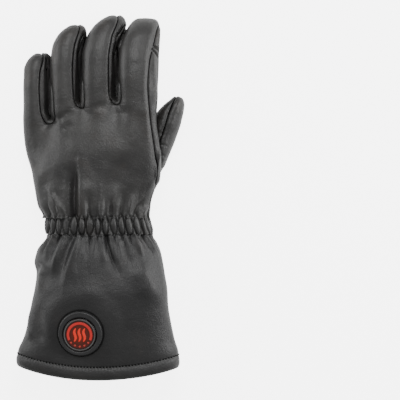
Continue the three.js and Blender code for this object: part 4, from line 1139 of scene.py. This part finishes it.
# The side seams run at this share of the way round from the middle of the back, on both sides
SIDE_SEAM_SHARE = 0.29
CUFF_GIRTH = 2 * (2 * MOUTH_HALF + MOUTH_DEPTH)
seam_s = np.minimum(np.abs(around - SIDE_SEAM_SHARE), np.abs(around - 1 + SIDE_SEAM_SHARE)) * CUFF_GIRTH
lift -= groove(seam_s, line=0.7, hollow=0.5, reach=3.2)
cuff = cuff + cuff_normals * lift[:, None]
seated = switch_frame(cuff)
radius = np.hypot(seated[:, 0], seated[:, 1])
# The leather falls in with the seat over this far, further on the side of the hand
SEAT_REACH = (17.0, 24.0)
toward_hand = smooth(-0.4, 0.7, seated[:, 1] / np.maximum(radius, 1))
reach = SEAT_REACH[0] + (SEAT_REACH[1] - SEAT_REACH[0]) * toward_hand
near = (1 - smooth(1.5, reach, radius - HOUSING_RADIUS)) * (seated[:, 2] > -SEAT_DEPTH)
dent = -np.exp(-((radius - HOUSING_RADIUS - 0.2) / 0.8) ** 2)
cuff += np.outer(near * (SWITCH_SUNK + dent - seated[:, 2]), switch_turn[:, 2])
cuff[:, 2] = np.maximum(cuff[:, 2], FLOOR_GAP)

lining_at = np.linspace(0, 1, 44)
inside = np.stack([cuff_ring(a, LINING_AROUND, WALL) for a in lining_at]).reshape(-1, 3)
inside_quads = grid_quads(len(lining_at), LINING_AROUND)[:, ::-1]
inside_normals = normals_of(inside, inside_quads)
inside_y = -WRIST_LENGTH - np.repeat(lining_at, LINING_AROUND) * CUFF_LENGTH
pushed = np.minimum(fold_height(CUFF_FOLDS, np.column_stack([inside[:, 0], inside_y])), 0) * CREASE_SHARE
pushed *= smooth(-0.15, 0.35, -inside_normals[:, 2])
inside = inside - inside_normals * (0.6 * lumps(inside, size=26, seed=31) - 0.3 + pushed)[:, None]


def round_hole(points, quads, radius):
    """The faces that lie clear of the switch"""
    middle = switch_frame(points[quads].mean(axis=1))
    return quads[~((np.hypot(middle[:, 0], middle[:, 1]) < radius) & (middle[:, 2] > -SEAT_DEPTH))]


cuff_quads = round_hole(cuff, cuff_quads, HOUSING_RADIUS - 0.8)
inside_quads = round_hole(inside, inside_quads, HOUSING_RADIUS - 1.5) + len(cuff)
# Painted seam shade along the cuff's side seams
cuff_leather = leather_material("cuff leather", dark=(0.0092, 0.0092, 0.0094), light=(0.0165, 0.0163, 0.0164),
                                patch=(0.02, 0.0178, 0.0168), roughness=0.48, seams=("seam_s",),
                                line=(0.15, 0.7))
cuff_piece = make_object("cuff_leather", np.concatenate([cuff, inside]),
                         np.concatenate([cuff_quads, inside_quads]),
                         {"seam_s": np.concatenate([seam_s, np.full(len(inside), SEAMLESS)])},
                         [0] * len(cuff_quads) + [1] * len(inside_quads))
finish_piece(cuff_piece, ["cuff"], "cuff_leather", [cuff_leather, fleece])
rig.padded(cuff_piece, 0.3)

# Hem: a padded band that binds the cuff's mouth, turned in and topstitched along its upper edge with
# short stitches, which draw it in a little at each hole.

STITCH_PITCH = 2.8
STITCH_LENGTH = 1.5
STITCH_WIDTH = 1.3
PUCKER = 0.35
# The stitches lie this far past the cuff's edge and out of its surface, and this far above the floor
STITCH_OUT = 0.2
STITCH_REST = 0.5
# Profile of the band, round its fold and back inside. along: past the cuff's edge; out: beyond its surface
HEM_ALONG = (-0.5, 0.0, 0.35, 0.9, 1.8, 3.0, 4.6, 6.4, 8.2, 9.8, 11.0, 11.8, 12.1, 11.9, 11.2, 9.8, 7.5, 4.5,
             1.5, -1.5)
HEM_OUT = (-1.3, -0.6, -0.15, 0.1, 0.35, 0.7, 1.0, 1.1, 1.0, 0.6, 0.0, -0.9, -1.9, -2.9, -3.7, -4.3, -4.6,
           -4.6, -4.3, -3.4)
hem_rows = dict(at=np.arange(len(HEM_ALONG)), along=HEM_ALONG, out=HEM_OUT)
fine = np.linspace(0, len(HEM_ALONG) - 1, 30 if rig.quick() else 58)
mouth = cuff_ring(1.0, AROUND)
tangent = np.roll(mouth, -1, axis=0) - np.roll(mouth, 1, axis=0)
tangent /= np.linalg.norm(tangent, axis=1, keepdims=True)
outward = np.column_stack([-tangent[:, 2], np.zeros(AROUND), tangent[:, 0]])
outward *= np.sign(np.sum(outward * (mouth - mouth.mean(axis=0)), axis=1))[:, None]
outward /= np.linalg.norm(outward, axis=1, keepdims=True)
length = np.concatenate([[0], np.cumsum(np.linalg.norm(np.roll(mouth, -1, axis=0) - mouth, axis=1))])
stitch_count = int(round(length[-1] / STITCH_PITCH))
phase = length[:-1] / length[-1] * stitch_count
hem = []
for a, out in zip(column(hem_rows, "along", fine), column(hem_rows, "out", fine)):
    # The puckering shows only on the outside and near the stitches
    pucker = PUCKER * np.cos(2 * np.pi * phase) * np.exp(-max(a, 0) / 1.6) if out > -1.5 else 0
    soft = 0.35 * lumps(mouth + [0, -a, 0], size=17, seed=41) * smooth(0.5, 4, a)
    hem.append(mouth + [0, -a, 0] + outward * (out - pucker + soft)[:, None])
hem = np.concatenate(hem)
hem[:, 2] = np.maximum(hem[:, 2], FLOOR_GAP)
hem_quads = grid_quads(len(fine), AROUND)
hem_leather = leather_material("hem leather", dark=(0.012, 0.0119, 0.0119), light=(0.022, 0.0218, 0.0216),
                               patch=(0.0215, 0.0195, 0.0182), roughness=0.46)
hem_piece = make_object("hem_leather", hem, hem_quads)
finish_piece(hem_piece, ["hem"], "hem_leather", [hem_leather])
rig.padded(hem_piece, 0.6)


def thread_material():
    """Twisted black polyester thread, with the twist as a slanting ridge"""
    material, tree, shader = start_material("hem thread", Base_Color=(0.004, 0.004, 0.004, 1),
                                            Specular_IOR_Level=0.1)
    twist = node(tree, "ShaderNodeTexWave", bands_direction="DIAGONAL", Vector=object_place(tree),
                 Scale=900.0, Distortion=0.5).outputs["Fac"]
    wire(tree, shader, dict(Roughness=remap(tree, twist, target=(0.45, 0.65)),
                            Normal=bump(tree, twist, strength=0.5, distance=0.0002)))
    return material


def stitch_tree(thread):
    """Stitches of one length and width, set along a curve at one pitch"""
    tree = bpy.data.node_groups.new("stitches", "GeometryNodeTree")
    face = tree.interface
    face.new_socket("Geometry", in_out="INPUT", socket_type="NodeSocketGeometry")
    for name, value in (("Pitch", STITCH_PITCH), ("Length", STITCH_LENGTH), ("Width", STITCH_WIDTH)):
        face.new_socket(name, in_out="INPUT", socket_type="NodeSocketFloat").default_value = value * MM
    face.new_socket("Geometry", in_out="OUTPUT", socket_type="NodeSocketGeometry")
    into = node(tree, "NodeGroupInput").outputs
    spots = node(tree, "GeometryNodeCurveToPoints", mode="LENGTH", Curve=into["Geometry"],
                 Length=into["Pitch"]).outputs
    ball = node(tree, "GeometryNodeMeshUVSphere", Segments=8, Rings=6, Radius=0.5)
    size = node(tree, "ShaderNodeCombineXYZ", X=into["Width"], Y=into["Width"], Z=into["Length"])
    place = node(tree, "GeometryNodeInstanceOnPoints", Points=spots["Points"], Instance=ball.outputs["Mesh"],
                 Rotation=spots["Rotation"], Scale=size.outputs["Vector"])
    real = node(tree, "GeometryNodeRealizeInstances", Geometry=place.outputs["Instances"])
    paint = node(tree, "GeometryNodeSetMaterial", Geometry=real.outputs["Geometry"], Material=thread)
    node(tree, "NodeGroupOutput", Geometry=paint.outputs["Geometry"])
    return tree


def stitched(name, places, tree):
    """Stitches along a closed line of places, as a plain mesh"""
    curve = bpy.data.curves.new(name + "_line", "CURVE")
    curve.dimensions = "3D"
    spline = curve.splines.new("POLY")
    spline.points.add(len(places) - 1)
    world = np.asarray(places) * MM + np.array(ORIGIN)
    spline.points.foreach_set("co", np.column_stack([world, np.ones(len(world))]).ravel())
    spline.use_cyclic_u = True
    line = bpy.data.objects.new(name + "_line", curve)
    bpy.context.scene.collection.objects.link(line)
    line.modifiers.new("stitches", "NODES").node_group = tree
    bpy.context.view_layer.update()
    mesh = bpy.data.meshes.new_from_object(line.evaluated_get(bpy.context.evaluated_depsgraph_get()))
    bpy.data.objects.remove(line)
    bpy.data.curves.remove(curve)
    thing = bpy.data.objects.new(name, mesh)
    mesh.polygons.foreach_set("use_smooth", [True] * len(mesh.polygons))
    bpy.context.scene.collection.objects.link(thing)
    return thing


stitch_line = mouth + [0, -STITCH_OUT, 0] + outward * STITCH_OUT
stitch_line[:, 2] = np.maximum(stitch_line[:, 2], STITCH_REST)
stitches = stitched("hem_stitches", stitch_line, stitch_tree(thread_material()))
finish_piece(stitches, [], "hem_leather", [])

# Switch housing: a moulded black rubber cup, set through the leather, with a rounded shoulder, a broad
# flat face and a sunk ring round the cap.

ROUND = 64 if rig.quick() else 128


def lathed(profile):
    """Places and faces of a turned shape, from its profile (radius, height) run from the axis outwards
    and back, so that it faces out"""
    turn = np.arange(ROUND) / ROUND * 2 * np.pi
    points, faces, rows = [], [], []
    for r, z in profile:
        if r < 1e-6:
            rows.append([len(points)] * ROUND)
            points.append((0, 0, z))
        else:
            rows.append(list(range(len(points), len(points) + ROUND)))
            points.extend((r * np.cos(a), r * np.sin(a), z) for a in turn)
    for lower, upper in zip(rows, rows[1:]):
        for j in range(ROUND):
            k = (j + 1) % ROUND
            faces.append(list(dict.fromkeys([lower[j], lower[k], upper[k], upper[j]])))
    return np.array(points), faces


def rounded(corners):
    """A profile with its corners (radius, height, rounding) rounded off"""
    path = []
    for i, (r, z, reach) in enumerate(corners):
        here = np.array([r, z])
        if reach == 0 or i in (0, len(corners) - 1):
            path.append(tuple(here))
            continue
        a = np.array(corners[i - 1][:2]) - here
        b = np.array(corners[i + 1][:2]) - here
        start = here + a / np.linalg.norm(a) * min(reach, np.linalg.norm(a) / 2)
        end = here + b / np.linalg.norm(b) * min(reach, np.linalg.norm(b) / 2)
        for t in np.linspace(0, 1, 5):
            path.append(tuple((1 - t) ** 2 * start + 2 * t * (1 - t) * here + t * t * end))
    return path


def on_switch(points, off=(0.0, 0.0)):
    """Places in the switch's own frame, moved to where it sits in the cuff"""
    return (np.asarray(points, float) + [*off, 0.0]) @ switch_turn.T + switch_middle


def tones(colour, low, high):
    """A darker and a lighter tone of a colour"""
    return [(*(share * c for c in colour), 1) for share in (low, high)]


def plastic_material(name, colour, roughness, relief, coat=0.0):
    """Moulded rubber or plastic: fine spark-eroded texture, faint scuffs in its gloss and tone"""
    material, tree, shader = start_material(name, Coat_Weight=coat, Coat_Roughness=0.1)
    place = object_place(tree)
    scuff = noise(tree, place, scale=160.0, detail=6.0, Roughness=0.65)
    fine = noise(tree, place, scale=2200.0, detail=3.0)
    wire(tree, shader, dict(
        Base_Color=mix(tree, scuff, *tones(colour, 0.8, 1.25)),
        Roughness=remap(tree, scuff, (0.35, 0.65), (roughness - 0.06, roughness + 0.08)),
        Normal=bump(tree, fine, strength=relief, distance=0.00008)))
    return material


CUP_BOTTOM = -6.5
CUP_FLOOR = -1.4
CUP_TOP = 3.4
RECESS_RADIUS = 14.8
# The cap's middle stands off the housing's, towards the hem and the outer side
CAP_OFF = (-0.4, -0.8)
rubber = plastic_material("housing rubber", colour=(0.011, 0.011, 0.0115), roughness=0.5, relief=0.5)
# The recess's profile from its rounded mouth down: radius, height
RECESS_PROFILE = (
    (RECESS_RADIUS + 1.6, CUP_TOP),
    (RECESS_RADIUS + 1.0, CUP_TOP - 0.1),
    (RECESS_RADIUS + 0.4, CUP_TOP - 0.4),
    (RECESS_RADIUS + 0.1, CUP_TOP - 0.9),
    (RECESS_RADIUS, CUP_TOP - 1.5),
    (RECESS_RADIUS, CUP_FLOOR + 0.2),
    (RECESS_RADIUS - 0.2, CUP_FLOOR),
    (0.0, CUP_FLOOR),
)
FACE_STEPS = 6


def cup():
    """The housing's outside, turned about its own middle, and its recess, turned about the cap's"""
    outside = rounded([
        (0, CUP_BOTTOM, 0),
        (HOUSING_RADIUS, CUP_BOTTOM, 1.2),
        (HOUSING_RADIUS, CUP_TOP - 0.6, 1.4),
        (HOUSING_RADIUS - 0.9, CUP_TOP + 0.1, 0.5),
        (HOUSING_RADIUS - 1.5, CUP_TOP, 0.3),
    ])
    turn = np.arange(ROUND) / ROUND * 2 * np.pi
    circle = np.column_stack([np.cos(turn), np.sin(turn)])
    rows = [np.column_stack([r * circle, np.full(ROUND, z)]) for r, z in outside]
    inside = [np.column_stack([r * circle + CAP_OFF, np.full(ROUND, z)]) for r, z in RECESS_PROFILE]
    face = [rows[-1] + (inside[0] - rows[-1]) * k / FACE_STEPS for k in range(1, FACE_STEPS)]
    rings = np.stack([*rows, *face, *inside])
    return rings.reshape(-1, 3), grid_quads(len(rings), ROUND)[:, ::-1]


points, faces = cup()
housing = make_object("switch_housing", on_switch(points), faces)
finish_piece(housing, ["button_cup"], "button_rubber", [rubber])

# Cap: a smoked, glossy lens in a thin pale rim, which is pressed down to switch the heat. Its marks are
# moulded through it and lit from behind: a ring open at the bottom, three rising waves and five dots.

CAP_BOTTOM = 0.0
CAP_TOP = 3.7
CAP_RADIUS = 14.5
MARK_DEPTH = 0.9
MARK_PROUD = 0.15
MARK_EDGE = 0.12
RIM_RADIUS = 13.8
RIM_WIDTH = 0.9
GLOW_RADIUS = 11.2
GLOW_WIDTH = 2.1
GLOW_FROM = -26.0
GLOW_TO = 206.0
WAVE_HEIGHT = 12.0
WAVE_WIDTH = 2.2
WAVE_SWING = 0.9
WAVE_SLANT = 0.12
WAVE_PITCH = 4.0
DOTS = 5
DOT_RADIUS = 0.85
DOT_SPACING = 24.0
# Red haze in the lens from its middle, 0, to its edge, 1
LENS_HAZE = (
    (0.0, (0.2, 0.012, 0.0, 1)),
    (0.4, (0.12, 0.009, 0.0, 1)),
    (0.6, (0.07, 0.007, 0.0, 1)),
    (0.76, (0.1, 0.005, 0.001, 1)),
    (0.86, (0.006, 0.001, 0.0, 1)),
    (1.0, (0.0, 0.0, 0.0, 1)),
)


def lens_material():
    """Smoked acrylic, reddened from behind by the lit marks"""
    material, tree, shader = start_material(
        "cap lens", Base_Color=(0.012, 0.0085, 0.008, 1), Specular_IOR_Level=0.25, Coat_Weight=0.1,
        Coat_Roughness=0.1, Emission_Strength=0.8)
    middle = node(tree, "ShaderNodeAttribute", attribute_name="from_middle").outputs["Fac"]
    haze = node(tree, "ShaderNodeValToRGB", Fac=middle)
    first, last = haze.color_ramp.elements
    first.color, last.color = LENS_HAZE[0][1], LENS_HAZE[-1][1]
    for position, colour in LENS_HAZE[1:-1]:
        haze.color_ramp.elements.new(position).color = colour
    scuff = noise(tree, object_place(tree), scale=300.0, detail=6.0)
    wire(tree, shader, dict(Emission_Color=haze.outputs["Color"],
                            Roughness=remap(tree, scuff, target=(0.12, 0.3))))
    return material


def glow_material(name, colour, strength):
    """Clear red plastic lit from behind, a little uneven"""
    material, tree, shader = start_material(name, Base_Color=(0.2, 0.015, 0.01, 1), Roughness=0.3,
                                            Emission_Strength=strength)
    cloud = noise(tree, object_place(tree), scale=350.0, detail=2.0)
    wire(tree, shader, dict(Emission_Color=mix(tree, cloud, *tones(colour, 0.82, 1.15))))
    return material


def slab(outline, low, high):
    """Places and faces of a flat strip with a softened upper edge. Its outline runs anticlockwise, up one
    side and back along the other, and quads across the strip close it above and below"""
    outline = np.asarray(outline, float)
    way = np.roll(outline, -1, axis=0) - np.roll(outline, 1, axis=0)
    inward = np.column_stack([-way[:, 1], way[:, 0]]) / np.linalg.norm(way, axis=1, keepdims=True)
    rows = ((0, low), (0, high - MARK_EDGE), (MARK_EDGE * 0.35, high - MARK_EDGE * 0.35), (MARK_EDGE, high))
    n = len(outline)
    points = np.concatenate([np.column_stack([outline + inward * shift, np.full(n, z)]) for shift, z in rows])
    faces = grid_quads(len(rows), n)[:, ::-1].tolist()
    upper = (len(rows) - 1) * n
    for j in range(n // 2 - 1):
        faces.append([upper + j, upper + j + 1, upper + n - 2 - j, upper + n - 1 - j])
        faces.append([j, n - 1 - j, n - 2 - j, j + 1])
    return points, faces


def mark(name, outline, node_name, material):
    points, faces = slab(outline, CAP_TOP - MARK_DEPTH, CAP_TOP + MARK_PROUD)
    thing = make_object(name, on_switch(points, CAP_OFF), faces)
    finish_piece(thing, [node_name], "glow_marks", [material], "cap")


lens = lens_material()
points, faces = lathed(rounded([
    (0, CAP_BOTTOM, 0),
    (CAP_RADIUS, CAP_BOTTOM, 0.3),
    (CAP_RADIUS, CAP_TOP, 0.5),
    (CAP_RADIUS - 1.4, CAP_TOP + 0.02, 0),
    (CAP_RADIUS - 3.5, CAP_TOP, 0),
    (CAP_RADIUS - 6.5, CAP_TOP, 0),
    (CAP_RADIUS - 10, CAP_TOP, 0),
    (0, CAP_TOP, 0),
]))
cap = make_object("cap_lens_body", on_switch(points, CAP_OFF), faces,
                  {"from_middle": np.hypot(points[:, 0], points[:, 1]) / CAP_RADIUS})
finish_piece(cap, ["button_cap"], "cap_lens", [lens], "cap")

rim_plastic = plastic_material("rim plastic", colour=(0.07, 0.07, 0.068), roughness=0.42, relief=0.2, coat=0.1)
points, faces = lathed(rounded([
    (RIM_RADIUS - RIM_WIDTH, CAP_TOP - MARK_DEPTH, 0),
    (RIM_RADIUS, CAP_TOP - MARK_DEPTH, 0.05),
    (RIM_RADIUS, CAP_TOP + MARK_PROUD, 0.15),
    (RIM_RADIUS - RIM_WIDTH, CAP_TOP + MARK_PROUD, 0.15),
    (RIM_RADIUS - RIM_WIDTH, CAP_TOP - MARK_DEPTH, 0),
]))
rim = make_object("cap_rim_ring", on_switch(points, CAP_OFF), faces)
finish_piece(rim, ["cap_rim"], "rim_plastic", [rim_plastic], "cap")

ring_glow = glow_material("lit ring", colour=(0.34, 0.006, 0.006), strength=1.0)
wave_glow = glow_material("lit waves", colour=(0.62, 0.016, 0.0), strength=1.0)
dot_glow = glow_material("lit dots", colour=(0.3, 0.03, 0.02), strength=0.8)


def arc_outline():
    turn = np.radians(np.linspace(GLOW_FROM, GLOW_TO, ROUND))
    line = lambda r, way: np.column_stack([r * np.cos(turn), r * np.sin(turn)])[::way]
    return np.concatenate([line(GLOW_RADIUS, 1), line(GLOW_RADIUS - GLOW_WIDTH, -1)])


def wave_outline(middle):
    """A band with one turn of a sine, thicker in its middle and pointed at its ends like a lick of flame"""
    t = np.linspace(0, 1, 33)
    y = (t - 0.5) * WAVE_HEIGHT
    swing = WAVE_SLANT * y - WAVE_SWING * np.sin(2 * np.pi * (t - 0.5))
    half = WAVE_WIDTH / 2 * np.clip(np.sin(np.pi * t), 0, 1) ** 0.4 + 0.06
    right = np.column_stack([middle + swing + half, y])
    left = np.column_stack([middle + swing - half, y])
    return np.concatenate([right, left[::-1]])


mark("glow_ring_lit", arc_outline(), "glow_ring", ring_glow)
for k, side_name in enumerate(("left", "middle", "right")):
    wave = "heat_wave_" + side_name
    mark(wave + "_lit", wave_outline((k - 1) * WAVE_PITCH), wave, wave_glow)
for k in range(DOTS):
    place = np.radians(-90 + (k - (DOTS - 1) / 2) * DOT_SPACING)
    middle = np.array([np.cos(place), np.sin(place)]) * (GLOW_RADIUS - GLOW_WIDTH / 2)
    turn = np.arange(24) / 24 * 2 * np.pi
    spot = middle + DOT_RADIUS * np.column_stack([np.cos(turn), np.sin(turn)])
    mark(f"dot_{k + 1}_lit", spot, f"dot_{k + 1}", dot_glow)

# Stage: a plain pale floor under soft studio lights, and the camera straight above the middle of the
# pair of gloves that this is the left one of.

FLOOR_HALF = 3.0
floor_mesh = bpy.data.meshes.new("floor")
corners = [(x * FLOOR_HALF, y * FLOOR_HALF, 0) for x, y in ((-1, -1), (1, -1), (1, 1), (-1, 1))]
floor_mesh.from_pydata(corners, [], [(0, 1, 2, 3)])
floor = bpy.data.objects.new("floor", floor_mesh)
bpy.context.scene.collection.objects.link(floor)
# Bright to the eye like a lit backdrop, and only a little so for the light it throws onto the glove
FLOOR_GLOW = (1.0, 5.0)
paper, tree, shader = start_material("floor paper", Base_Color=(0.96, 0.96, 0.96, 1), Roughness=0.85,
                                     Emission_Color=(1, 1, 1, 1))
seen = node(tree, "ShaderNodeLightPath").outputs["Is Camera Ray"]
wire(tree, shader, dict(Emission_Strength=remap(tree, seen, target=FLOOR_GLOW)))
floor_mesh.materials.append(paper)
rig.stage(floor)

world = bpy.data.worlds.new("studio")
bpy.context.scene.world = world
world.use_nodes = True
wire(world.node_tree, world.node_tree.nodes["Background"], dict(Color=(1, 1, 1, 1), Strength=0.5))

LIGHTS = (
    dict(name="left_softbox", place=(-1.2, 0.55, 0.55), size=0.9, power=11.0),
    dict(name="right_softbox", place=(1.2, 0.35, 0.5), size=0.8, power=13.0),
    dict(name="top_softbox", place=(0.15, 1.0, 1.4), size=0.8, power=17.0),
)
for row in LIGHTS:
    data = bpy.data.lights.new(row["name"], "AREA")
    data.shape, data.size, data.energy = "DISK", row["size"], row["power"]
    lamp = bpy.data.objects.new(row["name"], data)
    lamp.location = row["place"]
    lamp.rotation_euler = (-Vector(row["place"])).to_track_quat("-Z", "Y").to_euler()
    bpy.context.scene.collection.objects.link(lamp)

# The camera shows one glove at the photo's scale, in the place where it lies in the photo
MM_PER_PIXEL = 0.88
FRAME_PIXELS = 400
WRIST_PIXEL = (98.5, 217.0)
CAMERA_HEIGHT = 2.0
# Height of the glove's back, where the scale holds
GLOVE_BACK = 0.03
camera_data = bpy.data.cameras.new("camera")
camera_data.sensor_width = 36.0
picture_width = FRAME_PIXELS * MM_PER_PIXEL * MM
camera_data.lens = camera_data.sensor_width * (CAMERA_HEIGHT - GLOVE_BACK) / picture_width
camera = bpy.data.objects.new("camera", camera_data)
camera.location = (ORIGIN.x + (FRAME_PIXELS / 2 - WRIST_PIXEL[0]) * MM_PER_PIXEL * MM,
                   ORIGIN.y + (WRIST_PIXEL[1] - FRAME_PIXELS / 2) * MM_PER_PIXEL * MM, CAMERA_HEIGHT)
bpy.context.scene.collection.objects.link(camera)
bpy.context.scene.camera = camera

write_bounds("looks")
